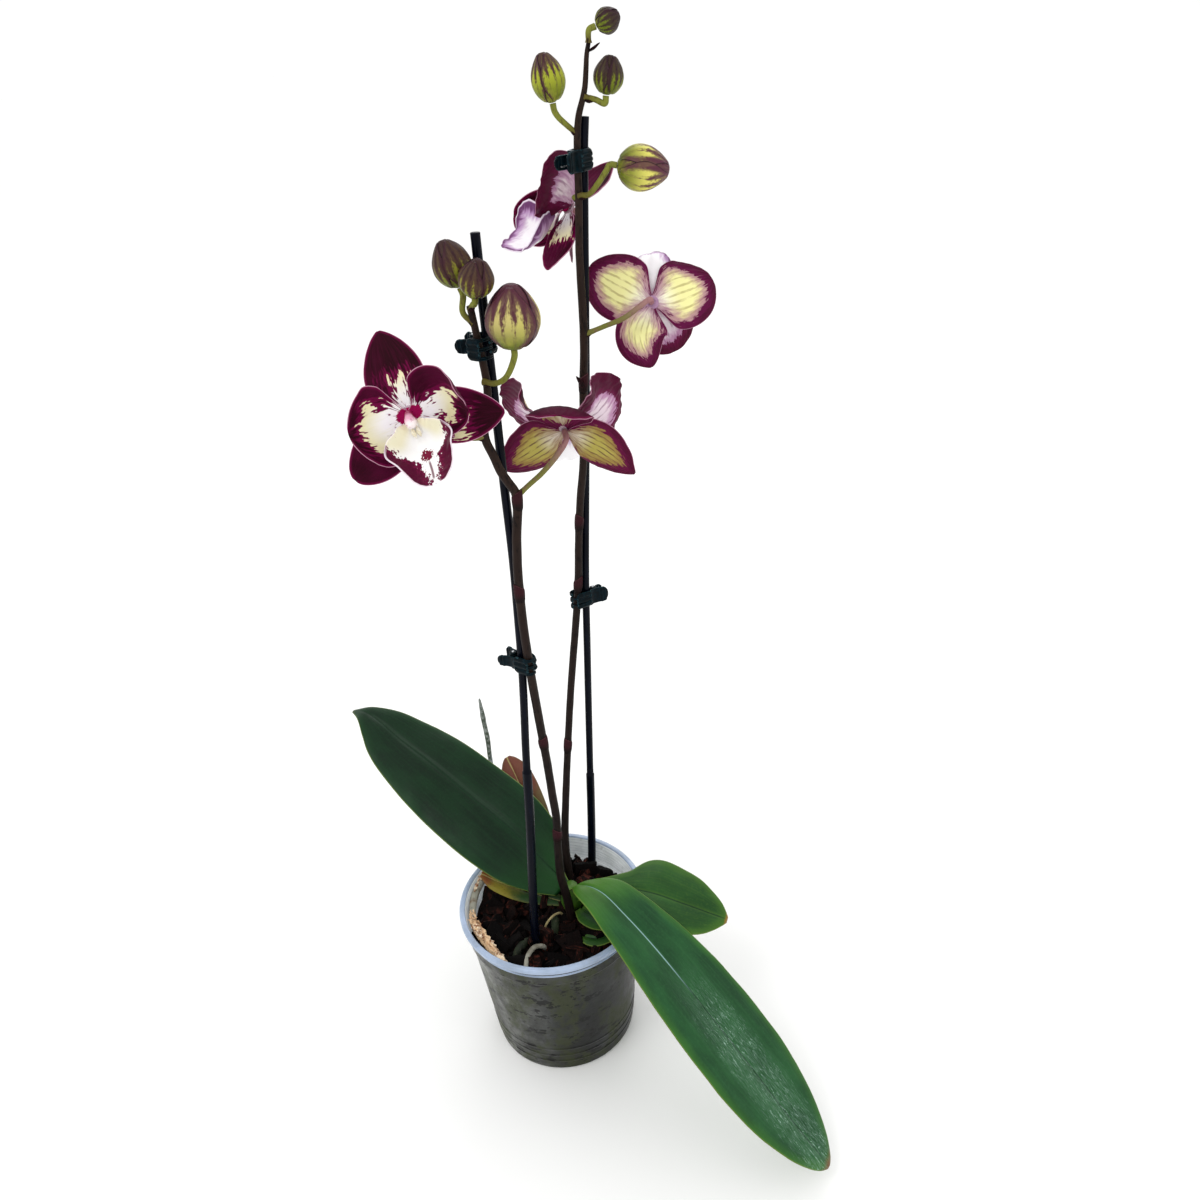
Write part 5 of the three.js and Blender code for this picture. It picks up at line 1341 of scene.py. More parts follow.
def lathe(shape, profile, sides, looks=0):
    """Round closed skin about +Z of an outline that starts and ends on the axis.

    looks holds one finish number, or one for each band between two rings.
    """
    profile = np.array(profile, float)
    angles = np.linspace(0, 2 * math.pi, sides, endpoint=False)
    rings = [
        np.stack([r * np.cos(angles), r * np.sin(angles), np.full(sides, z)], -1)
        for r, z in profile[1:-1]
    ]
    points = np.concatenate([*rings, [[0, 0, profile[0][1]]], [[0, 0, profile[-1][1]]]])
    faces = ring_faces(len(rings), sides)
    bands = np.broadcast_to(looks, len(rings) - 1)
    each = np.concatenate([np.repeat(bands, sides), np.tile([bands[0], bands[-1]], sides)])
    shape.add(points, faces, each)


def rounded(corners, radius=0.5, steps=4):
    """Outline with each inner corner turned into a short curve."""
    corners = np.array(corners, float)
    out = [corners[0]]
    for before, here, after in zip(corners, corners[1:], corners[2:]):
        into, leave = before - here, after - here
        cut = min(radius, 0.45 * np.linalg.norm(into), 0.45 * np.linalg.norm(leave))
        start, stop = here + unit(into) * cut, here + unit(leave) * cut
        for t in np.linspace(0, 1, steps + 1):
            out.append((1 - t) ** 2 * start + 2 * t * (1 - t) * here + t**2 * stop)
    out.append(corners[-1])
    return np.array(out)


def nursery_pot():
    under_rim = POT_HEIGHT - POT_RIM_DEPTH
    wall_slope = (POT_SHOULDER_RADIUS - POT_FOOT_RADIUS - 0.4) / (POT_SHOULDER_HEIGHT - 4)
    wall = []
    for height in (9, 15.5, 22):
        radius = POT_FOOT_RADIUS + 0.4 + wall_slope * (height - 4)
        wall.extend([[radius, height - 0.9], [radius + 0.35, height], [radius, height + 0.9]])
    wall.extend([POT_FOOT_RADIUS + 0.4 + wall_slope * (h - 4), h] for h in range(30, 90, 10))
    inner_steps = []
    for height in (101.5, 99, 96.5, 94):
        inside = POT_COLLAR_RADIUS - POT_WALL
        inner_steps.extend([[inside, height + 0.5], [inside - 0.35, height], [inside, height - 0.5]])
    outline = [
        [0, 1.2],
        [POT_FOOT_RADIUS - 6, 1.2],
        [POT_FOOT_RADIUS - 5, 0],
        [POT_FOOT_RADIUS - 1, 0],
        [POT_FOOT_RADIUS, 1],
        [POT_FOOT_RADIUS + 0.4, 4],
        *wall,
        [POT_SHOULDER_RADIUS, POT_SHOULDER_HEIGHT],
        [POT_COLLAR_RADIUS, POT_SHOULDER_HEIGHT + 1.5],
        [POT_COLLAR_RADIUS + 0.3, POT_BEAD_HEIGHT - 0.7],
        [POT_COLLAR_RADIUS + 1, POT_BEAD_HEIGHT],
        [POT_COLLAR_RADIUS + 0.3, POT_BEAD_HEIGHT + 0.7],
        [POT_COLLAR_RADIUS + 0.4, under_rim - 1.2],
        [POT_RIM_RADIUS - 0.8, under_rim],
        [POT_RIM_RADIUS, under_rim + 1],
        [POT_RIM_RADIUS, POT_HEIGHT - 0.8],
        [POT_RIM_RADIUS - 0.8, POT_HEIGHT],
        [POT_COLLAR_RADIUS + 0.2, POT_HEIGHT],
        [POT_COLLAR_RADIUS - 0.5, POT_HEIGHT - 0.8],
        [POT_COLLAR_RADIUS - POT_WALL, under_rim - 1],
        *inner_steps,
        [POT_COLLAR_RADIUS - POT_WALL, POT_SHOULDER_HEIGHT + 1.2],
        [POT_SHOULDER_RADIUS - POT_WALL, POT_SHOULDER_HEIGHT],
        [POT_FOOT_RADIUS - POT_WALL + 0.4, POT_FLOOR + 2.4],
        [POT_FOOT_RADIUS - POT_WALL - 0.8, POT_FLOOR],
        [0, POT_FLOOR],
    ]
    shape = Shape()
    profile = rounded(outline, 0.7)
    turned_in = int(np.argmin(np.abs(profile - [POT_COLLAR_RADIUS - 0.5, POT_HEIGHT - 0.8]).sum(-1)))
    looks = []
    for i, (radius, height) in enumerate(profile[1:-2]):
        inside = i + 1 >= turned_in
        clear = height > under_rim - 1.6 or abs(height - POT_BEAD_HEIGHT) < 0.8
        looks.append(2 if inside else int(clear))
    lathe(shape, profile, POT_SIDES, looks)
    shape.make("pot", [FROSTED_WALL, CLEAR_RIM, INNER_WALL], ["pot"])


def chip(shape, random, centre, size, steps=4):
    """Bark chip: a torn slab with uneven faces."""
    t = np.linspace(-1, 1, steps + 1)
    a, b = (side.ravel() for side in np.meshgrid(t, t, indexing="ij"))
    one = np.ones_like(a)
    sides = [(a, b, one), (b, a, -one), (one, a, b), (-one, b, a), (b, one, a), (a, -one, b)]
    half = np.array([1, random.uniform(0.45, 0.85), random.uniform(0.2, 0.42)]) * size / 2
    lean = random.normal(size=3) * [0.8, 0.8, 0]
    turn = Matrix.Rotation(random.uniform(0, 6.3), 3, "Z") @ Matrix.Rotation(lean[0], 3, "X")
    turn = np.array(turn @ Matrix.Rotation(lean[1], 3, "Y"))
    seed = int(random.integers(1 << 30))
    taper = random.uniform(-0.35, 0.35, 2)
    for side in sides:
        points = np.stack(side, -1)
        points = points * (1 - 0.12 * (np.linalg.norm(points, axis=-1, keepdims=True) - 1))
        points = points * half * (1 + np.outer(points[:, 0], [0, taper[0], taper[1]]))
        points = points + 0.09 * size * waves(points, 0.55 * size, seed)[:, None] * unit(points)
        shape.add(
            points @ turn.T + centre, quads(steps + 1, steps + 1), tint=random.uniform(), flake=points
        )


def potting_bark():
    random = np.random.default_rng(7)
    inside = POT_SHOULDER_RADIUS - POT_WALL - 1
    foot = POT_FOOT_RADIUS - POT_WALL - 1.5
    shape = Shape()
    filling = [[0, POT_FLOOR + 0.4], [foot, POT_FLOOR + 0.6], [inside - 0.5, 84], [inside - 4, 88], [0, 89]]
    lathe(shape, rounded(filling, 2), 64)
    for i in range(CHIP_COUNT):
        radius = (inside - 5) * math.sqrt((i + 0.5) / CHIP_COUNT)
        angle = i * GOLDEN_ANGLE + random.uniform(-0.3, 0.3)
        size = random.uniform(7, 21) * (1 if radius < inside - 9 else 0.65)
        back = max(math.sin(angle), 0) * radius / inside
        height = BARK_TOP - 4 + random.uniform(-3, 4) + 4.5 * back
        chip(shape, random, [radius * math.cos(angle), radius * math.sin(angle), height], size)
    shape.make("bark", [PINE_BARK], ["bark"])


def roots():
    for number, (name, root) in enumerate(ROOTS.items()):
        shape = Shape()
        route = Route(root["points"])

        def radius_at(share, angles, root=root, route=route, number=number):
            lump = waves(np.stack([np.full_like(angles, share * route.length / 5), angles], -1), 3, number)
            tip = np.sqrt(np.clip((1 - share) * route.length / 2 + 0.02, 0, 1))
            return linear(root["radii"], share) * (1 + 0.07 * lump) * tip

        tube(shape, route, radius_at, sides=20, steps=int(route.length / 0.8), seed=float(number))
        if name.startswith("root_green"):
            shape.make(name, [GREEN_VELAMEN], [name])
        elif name == "root_rim":
            root_paper(shape, route, root["radii"])
            shape.make(name, [PEELED_VELAMEN, ROOT_PAPER], [name])
        else:
            skin = {"root_sliver": SLIVER_SKIN, "root_aerial": AERIAL_SKIN}.get(name, GREY_VELAMEN)
            shape.make(name, [skin], [name])


def root_paper(shape, route, girth):
    """Dead skin that has come away from the old root in curled, ragged strips."""
    strips = [
        (0.52, 0.74, 5.5, 1.2, 0.6),
        (0.6, 0.9, 4, -1.6, 1.1),
        (0.74, 1, 5, 0.8, 1.6),
        (0.2, 0.4, 3, 1.4, 0.5),
    ]
    for number, (start, stop, width, aside, lift) in enumerate(strips):
        u = np.linspace(0, 1, 60)
        v = np.linspace(-1, 1, 13)
        shares = start + (stop - start) * u
        inward = -unit(route.at(shares) * [1, 1, 0])
        proud = unit(inward * 0.5 + [0, 0, 1])
        across = unit(np.cross(route.heading(shares), proud))
        U, V = np.meshgrid(u, v, indexing="ij")
        ragged = 1 + 0.7 * waves(np.stack([U * 14, V * 0.9], -1), 1.6, number, 2)
        half = width / 2 * np.sin(math.pi * (0.04 + 0.92 * U)) ** 0.6 * ragged
        curl = lift * (0.2 + V**2) + 0.7 * waves(np.stack([U * 8, V], -1), 1.7, number + 9)
        points = route.at(shares)[:, None] + across[:, None] * (aside + half * V)[..., None]
        points = points + proud[:, None] * (linear(girth, shares)[:, None] * 0.8 + curl)[..., None]
        sheet(shape, points, 0.3, 1, 1, place=np.stack([U, V, U], -1))


# Crown, leaves, stakes and stems


def crown():
    shape = Shape()
    tube(shape, CROWN_POINTS, lambda t, a: linear([[0, 5], [0.35, 8.2], [0.75, 7.4], [1, 4.2]], t), 28, 30)
    shape.make("crown", [LEAF_SHEATH], ["crown"])


# Upper and under face of each leaf
LEAF_FINISHES = {
    "leaf_left_big": (LEFT_LEAF, LEAF_BACK),
    "leaf_right_big": (RIGHT_LEAF, LEAF_BACK),
    "leaf_right_small": (SMALL_LEAF, LEAF_BACK),
    "leaf_lower_front": (LOW_LEAF, LEAF_BACK),
    "leaf_lower_small": (LOW_LEAF, LEAF_BACK),
    "leaf_old_upright": (OLD_UPRIGHT, OLD_UPRIGHT),
    "leaf_yellowing": (YELLOWING, YELLOWING),
}


def leaf(name, finishes):
    data = {**LEAF_USUAL, **LEAVES[name]}
    seed = sum(map(ord, name))

    def half_at(u, v):
        far = np.where(v > 0, data["tuck"] + (1 - data["tuck"]) * smooth(u / 0.16), 1)
        return np.maximum(eased(data["widths"], u), 0.6) / 2 * (1 - data["skew"] * np.sign(v)) * far

    def rise_at(u, v, half):
        return 1.2 * data["fold"] * half * (np.sqrt(v * v + 0.0025) - 0.05 - data["droop"] * v * v)

    points, U, V, half, normal, length = blade(data["spine"], data["face"], half_at, rise_at, *LEAF_GRID)
    flat = np.stack([U * length, half * V], -1)
    points = points + normal[:, None] * (0.35 * waves(flat, 30, seed) * np.abs(V))[..., None]
    groove = np.exp(-((half * V) / 1.3) ** 2) * smooth((1 - U) * 6)
    points = points - normal[:, None] * (0.8 * groove)[..., None]
    edge = margin_distance(U, V, half, length)
    thickness = data["thickness"] * (1 - 0.5 * V**2) * (0.45 + 0.55 * smooth(edge / 2.5))
    shape = Shape()
    place = np.stack([U, V, edge], -1)
    sheet(shape, points, thickness, place=place, flat=np.dstack([flat, np.full_like(U, seed)]))
    shape.make(name, finishes, [name])


def stakes():
    for side, points in (("left", LEFT_STAKE_POINTS), ("right", RIGHT_STAKE_POINTS)):
        top = SLEEVE_TOP_SHARE[side]
        route = Route(points)

        def radius_at(share, angles, top=top, route=route):
            end = min(1, math.sqrt(max((1 - share) * route.length / 0.8, 0)) + 0.55)
            return (SLEEVE_RADIUS if share <= top else STAKE_RADIUS) * end

        near = np.array([-0.0004, 0.0004]) + top
        close_to_end = 1 - np.array([0.8, 0.5, 0.25, 0.1, 0]) / route.length
        shares = np.sort(np.concatenate([np.linspace(0, 0.996, 80), near, close_to_end]))
        shape = Shape()
        tube(shape, route, radius_at, sides=24, shares=shares)
        shape.make(f"stake_{side}", [COATED_STEEL], [f"stake_{side}"])


def on_stem(route, height):
    shares = np.linspace(0, 1, 2001)
    share = shares[np.argmin(np.abs(route.at(shares)[:, 2] - height))]
    return share, route.at(share), route.heading(share)


def bloom_axes(bloom):
    facing = unit(bloom["facing"])
    right = unit(np.cross(bloom["up"], facing))
    return np.stack([right, np.cross(facing, right), facing])


def pedicel_points(route, target):
    """Route of a pedicel, taken on to the back of the bloom or bud that it carries."""
    if target.startswith("bloom"):
        bloom = BLOOMS[target[-1]]
        tip = unit(bloom["facing"])
        seat = np.array(bloom["centre"]) + tip * HUB_BACK
        run = 7
    else:
        bud = BUDS[target]
        tip = unit(bud["axis"])
        seat = np.array(bud["centre"]) - tip * bud["length"] / 2
        run = 3.6
    return [*route, seat - tip * run, seat - tip * 0.4]


def spike(side, data):
    shape = Shape()
    route = Route(data["stem"])
    marks = [on_stem(route, height) for height in data["nodes"]]

    def radius_at(share, angles):
        radius = linear(data["radii"], share)
        for mark, _, _ in marks:
            radius += 0.35 * math.exp(-(((share - mark) * route.length / 3) ** 2))
        place = np.stack(
            [np.full_like(angles, share * route.length / 4), np.cos(angles), np.sin(angles)], -1
        )
        return radius * (1 + 0.03 * waves(place, 2.5, 3))

    tube(shape, route, radius_at, sides=20, steps=SPIKE_RINGS)
    for i, (share, centre, heading) in enumerate(marks):
        node_sheath(shape, centre, heading, linear(data["radii"], share), 1 if i % 2 else -1)
    for root, tip, width in BRACTS[side]:
        bract(shape, root, tip, width)
    for number, (target, points) in enumerate(data["pedicels"].items()):
        start, after = np.array(pedicel_points(points, target)[:2])
        bract(shape, start - [0, 0, 1.6], start + unit(after - start) * 4.5 - [0, 0, 1.2], 3.4)
        pairs = [[0, 1.15], [0.15, 0.85], [0.8, 0.95], [1, 1]]
        tube(
            shape,
            pedicel_points(points, target),
            lambda t, a: PEDICEL_RADIUS * linear(pairs, t) * np.ones_like(a),
            sides=18,
            steps=60,
            look=2 if target.startswith("bloom") else 1,
            seed=float(number),
        )
    looks = [STEM_SKIN, BUD_PEDICEL_SKIN, BLOOM_PEDICEL_SKIN, NODE_SHEATH]
    shape.make(f"spike_{side}", looks, [f"spike_{side}"])


# Bracts that stand off the stems: root, tip and width
BRACTS = {
    "left": [],
    "right": [([50.6, 34.2, 431], [47.4, 31.6, 438.6], 3.6), ([66.2, 37.4, 586], [71.6, 36, 589.4], 3.2)],
}


def bract(shape, root, tip, width):
    """Small scale leaf under a pedicel or on a bare node, cupped towards the stem."""
    root, tip = np.array(root, float), np.array(tip, float)
    middle = (root + tip) / 2 + [0, 0, -0.7]

    def half_at(u, v):
        return width / 2 * np.sin(math.pi * (0.16 + 0.82 * u)) ** 0.8

    def rise_at(u, v, half):
        return 0.7 * half * v**2

    points, U, V, half, _, _ = blade([root, middle, tip], [[0, 0, 1]] * 2, half_at, rise_at, 14, 9)
    sheet(shape, points, 0.4, 3, 3, place=np.stack([0.2 + 0.78 * U, V, U], -1))


# How far up the stem each ring of a sheath lies and how far it stands off, in mm
SHEATH_PROFILE = (
    (-4, 0.05), (-2.6, 0.15), (-1, 0.25), (0.5, 0.35), (2.2, 0.35), (3.8, 0.3), (5, 0.22)
)


def node_sheath(shape, centre, heading, radius, side):
    """Papery cup that clasps the stem at a node, higher over the eye that it covers."""
    lean = unit([side, -0.6, 0])
    angles = np.linspace(0, 2 * math.pi, 28)
    spokes = np.stack([np.cos(angles), np.sin(angles), np.zeros_like(angles)], -1)
    rows = []
    for up, proud in SHEATH_PROFILE:
        higher = 1.8 * (spokes @ lean) * max(up, 0) / 5
        rows.append(centre + np.outer(up + higher, heading) + spokes * (radius + proud))
    grid = np.array(rows)
    U, V = np.meshgrid(np.linspace(0, 1, len(rows)), np.linspace(0, 1, len(angles)), indexing="ij")
    sheet(shape, grid, 0.35, 3, 3, place=np.stack([U, V, U], -1))


# Blooms and buds

# How each sepal and petal is marked: share of its length that the cream flame reaches, its half
# width and its shift to the side, then the wine margin on the back at base and tip, and how much
# wider that is to the +V side. All but the share in mm.
MARKS = {
    "a": {
        "sepal": [(0.42, 4.2, 0, 2, 5, 0), (0.6, 5.5, 5, 2, 5, 0), (0.1, 2, 0, 2, 5, 0)],
        "petal": [(0.8, 12, -0.5, 2, 5, 0), (0.74, 9, 4, 2, 5, 0)],
    },
    "b": {
        "sepal": [(0.3, 5, 0, 3.6, 4, 0), (0.3, 5, 0, 1, 5, 1), (0.3, 5, 0, 1, 6, -1)],
        "petal": [(0.7, 10, 0, 4, 10, -5), (0.7, 10, 0, 4, 9, 5)],
    },
    "c": {
        "sepal": [(0.3, 5, 0, 1, 5, 0), (0.3, 5, 0, 0.8, 5.5, 0), (0.3, 5, 0, 0.8, 5.5, 0)],
        "petal": [(0.7, 10, 0, 1, 6, 0), (0.7, 10, 0, 1, 6, 0)],
    },
    "d": {
        "sepal": [(0.35, 6, 0, 2, 6, 0), (0.7, 6, 0, 2, 5, 0), (0.5, 6, 0, 2, 5, 0)],
        "petal": [(0.75, 12, 0, 3, 10, 4), (0.75, 12, 0, 3, 9, 0)],
    },
}

# Depth of the ruffles at the margin; the petals of bloom b are wider and curl far more
FRILL = {"sepal": 0.45, "petal": 0.8}
GROWN = {("b", "petal"): {"width": 38, "frill": 1.9}}


def tepal_grid(data, marks, seat, kind, seed):
    """Grid of a sepal or petal in its bloom's own frame, with the values its colours follow."""
    power = math.log(0.5) / math.log(data["widest"])

    def half_at(u, v):
        belly = np.sin(math.pi * (u**power * 0.965 + 0.03)) ** data["blunt"]
        claw = data["claw"] + (1 - data["claw"]) * smooth(u / 0.3)
        return data["width"] / 2 * np.maximum(belly * claw, 0.06) * np.cos(0.7 * data["cup"] * v)

    def rise_at(u, v, half):
        return data["cup"] * half * v**2

    points, U, V, half, normal, length = blade(data["spine"], data["face"], half_at, rise_at, *TEPAL_GRID)
    points = points + [0, 0, seat]
    flat = np.stack([U * length, half * V], -1)
    edge = margin_distance(U, V, half, length)
    flame, breadth, shift, low, high, lean = marks
    wave = waves(flat, 11, seed, 2) * data["frill"] * np.exp(-edge / 4) * smooth(U * 3)
    points = points + normal[:, None] * wave[..., None]
    vein_relief = np.cos(V * 26) * 0.05 * smooth(edge / 2)
    points = points + normal[:, None] * vein_relief[..., None]
    # The heart patch is a bow tie: it lies on the petal claws only
    reach = np.hypot(U * length, 1.7 * half * V) if kind == "petal" else np.hypot(U * length, half * V) + 4
    spread = breadth * (0.45 + 0.55 * smooth(U / max(flame, 0.1)))
    pale = np.minimum(spread - np.abs(half * V - shift * smooth(U * 3)), (flame - U) * length)
    if kind == "petal":
        pale = np.minimum(pale, edge + 3 - 9.5 * smooth(U * 2.2))
    rim = low + (high - low) * smooth(U * 1.3) + lean * V
    values = {
        "place": np.stack([U, V, edge], -1),
        "flat": np.dstack([flat, np.full_like(U, seed)]),
        "pale": pale,
        "rim": rim,
        "reach": reach,
    }
    return points, values, edge


def blooms():
    for key, bloom in BLOOMS.items():
        axes = bloom_axes(bloom)
        centre = np.array(bloom["centre"])
        for kind, seat, standard in (("sepal", SEPAL_SEAT, SEPAL), ("petal", PETAL_SEAT, PETAL)):
            shape = Shape()
            for number, own in enumerate(bloom[kind + "s"]):
                seed = ord(key) * 10 + number + (5 if kind == "petal" else 0)
                data = {**standard, "frill": FRILL[kind], **own, **GROWN.get((key, kind), {})}
                points, values, edge = tepal_grid(data, MARKS[key][kind][number], seat, kind, seed)
                thickness = TEPAL_THICKNESS * (1.3 - 0.5 * values["place"][..., 0])
                thickness = thickness * (0.5 + 0.5 * smooth(edge / 3))
                sheet(shape, points @ axes + centre, thickness, **values)
            low, high, radius, back = (HUB_BACK, 0.4, 3.8, 1) if kind == "sepal" else (0.3, 2.2, 3, 0)
            ends = np.array([[0, 0, low], [0, 0, (low + high) / 2], [0, 0, high]]) @ axes + centre
            girth = [[0, 0.6], [0.2, 0.95], [0.7, 1], [1, 0.5]]
            tube(shape, ends, lambda t, a: radius * linear(girth, t), 20, 10, back)
            under = (SEPAL_BACKS if kind == "sepal" else PETAL_BACKS)[key]
            shape.make(f"bloom_{key}_{kind}s", [PETAL_FACE, under], [f"bloom_{key}_{kind}s"])
        bloom_lip(key, bloom, axes, centre)
        bloom_column(key, axes, centre)


# Half widths of the lip with its lobes told apart: narrow neck, flared side lobes, long mid lobe
LIP_LOBES = [
    [0, 4], [0.14, 7.5], [0.27, 13], [0.4, 15.5], [0.52, 13], [0.66, 11], [0.8, 9], [0.93, 5.5], [1, 1.4]
]


def bloom_lip(key, bloom, axes, centre):
    keel = Route(np.array(LIP_KEEL) + bloom["lip_shift"])
    lift = unit([0, 0.45, 0.9])
    u = np.linspace(0, 1, LIP_GRID[0])
    v = np.sin(np.linspace(-1, 1, LIP_GRID[1]) * math.pi / 2)
    U, V = np.meshgrid(u, v, indexing="ij")
    half = np.maximum(eased(LIP_LOBES, U), 0.9)
    sway = 1.13 * half * V * (1 - 0.12 * V**2)
    points = keel.at(u)[:, None] + np.stack([sway, 0 * sway, 0 * sway], -1)
    points = points + lift * (eased(LIP_SIDE_RISES, U) * V**2)[..., None]
    edge = margin_distance(U, V, half, keel.length)
    flat = np.stack([U * keel.length, half * V], -1)
    points = points + lift * (1.1 * waves(flat, 9, ord(key), 2) * np.exp(-edge / 3))[..., None]
    points = points + lift * (1.2 * np.exp(-((half * V / 1.6) ** 2)) * smooth(U * 3 - 1))[..., None]
    shape = Shape()
    values = {
        "place": np.stack([U, V, edge], -1),
        "flat": np.dstack([flat, np.full_like(U, ord(key))]),
    }
    sheet(shape, points @ axes + centre, LIP_THICKNESS * (0.5 + 0.5 * smooth(edge / 2)), **values)
    callus = np.array([[0, -5.5, 4.2], [0, -8, 5.2], [0, -10.5, 4.6]]) + bloom["lip_shift"]
    lumps = [callus + [side * 1.1, 0, 0] for side in (-1, 1)]
    for lump in lumps:
        tube(shape, lump @ axes + centre, lambda t, a: math.sin(math.pi * (0.08 + 0.84 * t)), 14, 14, 2)
    face = LIP_BACK if key == "d" else LIP_FACE
    shape.make(f"bloom_{key}_lip", [LIP_BACK, face, CALLUS], [f"bloom_{key}_lip"])


def bloom_column(key, axes, centre):
    tip = 2.5 + COLUMN_LENGTH
    path = [[0, 0.2, 2.5], [0, 0.2, 5.5], [0, -1.6, tip - 2.8], [0, -3.6, tip - 1.8], [0, -5, tip - 2.8]]
    girth = [[0, 0.6], [0.3, 0.6], [0.55, 0.7], [0.7, 0.95], [0.85, 1], [0.95, 0.8], [1, 0.4]]
    shape = Shape()
    path = np.array(path) @ axes + centre
    tube(shape, path, lambda t, a: COLUMN_RADIUS * eased(girth, t) * (1 + 0.06 * np.cos(3 * a)), 24, 40)
    shape.make(f"bloom_{key}_column", [COLUMN_SKIN], [f"bloom_{key}_column"])


# Angle about a bud at which the middle of its upper sepal lies
BUD_TURNS = {"bud_7": 90, "bud_4": 125, "bud_1": 110, "bud_5": 145, "bud_6": 60, "bud_2": 140, "bud_3": 152}


def buds():
    for number, (name, bud) in enumerate(BUDS.items()):
        axis = unit(bud["axis"])
        side = unit(np.cross(axis, [0.2, 0.9, 0.1]))
        other = np.cross(axis, side)

        def skin(share, angle, proud, bud=bud, axis=axis, side=side, other=other):
            """Points of the bud's outline, raised by that many mm."""
            swell = np.sin(math.pi * (0.04 + 0.92 * share**0.86)) ** 0.72
            radius = bud["radius"] * swell + proud
            points = np.array(bud["centre"]) + axis * (bud["length"] * (share - 0.5))[..., None]
            points = points + side * (radius * np.cos(angle))[..., None]
            return points + other * (radius * np.sin(angle))[..., None]

        rows, sides = BUD_GRID
        S, A = np.meshgrid(
            np.linspace(0, 1, rows), np.linspace(0, 2 * math.pi, sides, endpoint=False), indexing="ij"
        )
        flat = skin(S, A, -0.35).reshape(-1, 3)
        ends = np.stack([flat[:sides].mean(0), flat[-sides:].mean(0)])
        faces = [face[::-1] for face in ring_faces(rows, sides)]
        place = np.concatenate([np.stack([S, A, 0.3 + 0 * S], -1).reshape(-1, 3), [[0, 0, 1], [1, 0, 0]]])
        shape = Shape()
        shape.add(np.concatenate([flat, ends]), faces, place=place, seed=float(number))
        # Three sepals: the upper one lies over the two beside it
        for k, (turn, proud) in enumerate(((0, 0.3), (118, 0), (-118, -0.15))):
            u, v = (np.linspace(low, 1, count) for low, count in zip((0, -1), BUD_SEPAL_GRID))
            U, V = np.meshgrid(u, np.sin(v * math.pi / 2), indexing="ij")
            spread = np.radians(64) * np.sin(math.pi * (0.1 + 0.86 * U)) ** 0.5
            angle = np.radians(BUD_TURNS[name] + turn) + spread * V
            share = 0.03 + 0.955 * U
            ribs = 0.012 * bud["radius"] * np.cos(angle * 15) * (1 - V**8)
            uneven = 0.1 * waves(np.stack([share * 4, angle * 2], -1), 2, number * 3 + k)
            seam = (1 - np.abs(V)) * 1.3 * np.minimum(1, 0.25 + 4 * (1 - U)) * np.minimum(1, 0.4 + 4 * U)
            grid = skin(share, angle, proud + ribs + uneven + 0.15 * V**8)
            sheet(shape, grid, 0.4, 0, 0, place=np.stack([share, angle, seam], -1), seed=float(number))
        shape.make(name, [BUD_SKINS[name]], [name])


# Clips


def jaw(shape, kind, grip):
    """Half of a clip about its pin: ribbed tab, wall, round fingers and knuckles."""
    outer = grip["half_width"] + CLIP_BAND / 2
    coil = COIL_CLEAR + CLIP_BAND / 2
    reach, neck = grip["reach"], grip["neck"]
    turn = reach - min(grip["half_width"] * 0.5, 1.6)
    tall = JAW_TAB_HALF_HEIGHT[kind]
    plate(
        shape,
        [
            [-CLIP_TAB_LENGTH, TAB_SPREAD - 0.4], [-5, TAB_SPREAD - 0.9], [-2.2, coil + 0.1],
            [neck, coil], [neck + 2.4, outer],
        ],
        lambda u: tall * np.sqrt(np.clip(1 - (1 - np.minimum(u / 0.26, 1)) ** 2, 0.03, 1)),
        lambda u, v: 0.22 * np.cos(u * 40) * smooth((0.5 - u) * 6),
    )
    plate(
        shape,
        [[neck + 1.6, outer], [(neck + turn) / 2 + 1, outer + 0.05], [turn + 0.4, outer]],
        lambda u: CLIP_HALF_HEIGHT * np.sqrt(np.clip(1 - (2 * u - 1) ** 8, 0.2, 1)),
        lambda u, v: 0.35 * np.cos(v * 3 * math.pi),
    )
    hook = [
        [neck + 3, outer],
        [turn - 0.4, outer + 0.1],
        [reach, outer * 0.72],
        [reach + 0.6, outer * 0.3],
        [reach + 0.5, -0.7],
    ]
    for low, high in JAW_FINGERS[kind]:
        ribs = 1 if high - low < 1.5 else 2
        for k in range(ribs):
            z = low + (high - low) * (k + 0.5) / ribs
            radius = min(0.62, (high - low) / ribs / 2)
            tube(shape, [[x, y, z] for x, y in hook], lambda t, a: radius, sides=10, steps=40)
    for low, high in KNUCKLES[kind]:
        ends = [[0, 0, low], [0, 0, (low + high) / 2], [0, 0, high]]
        girth = [[0, 0.86], [0.12, 1], [0.88, 1], [1, 0.86]]
        tube(shape, ends, lambda t, a: KNUCKLE_RADIUS * linear(girth, t), 20, 8)
        plate(
            shape,
            [[-1.2, 1.0], [-0.6, coil]],
            lambda u: (high - low) / 2 + 0 * u,
            lambda u, v: 0 * u,
            (low + high) / 2,
        )


def plate(shape, line, half_height, ridge, middle=0.0):
    """Moulded strip of even thickness along a line, with round margins."""
    route = Route([[x, y, middle] for x, y in line])
    u = np.linspace(0, 1, PLATE_GRID[0])
    v = np.linspace(-1, 1, PLATE_GRID[1])
    U, V = np.meshgrid(u, v, indexing="ij")
    out = unit(np.cross([0, 0, 1], route.heading(u)))
    points = route.at(u)[:, None] + out[:, None] * ridge(U, V)[..., None]
    points = points + np.array([0, 0, 1.0]) * (half_height(U) * V)[..., None]
    sheet(shape, points, CLIP_BAND, 0, 0)


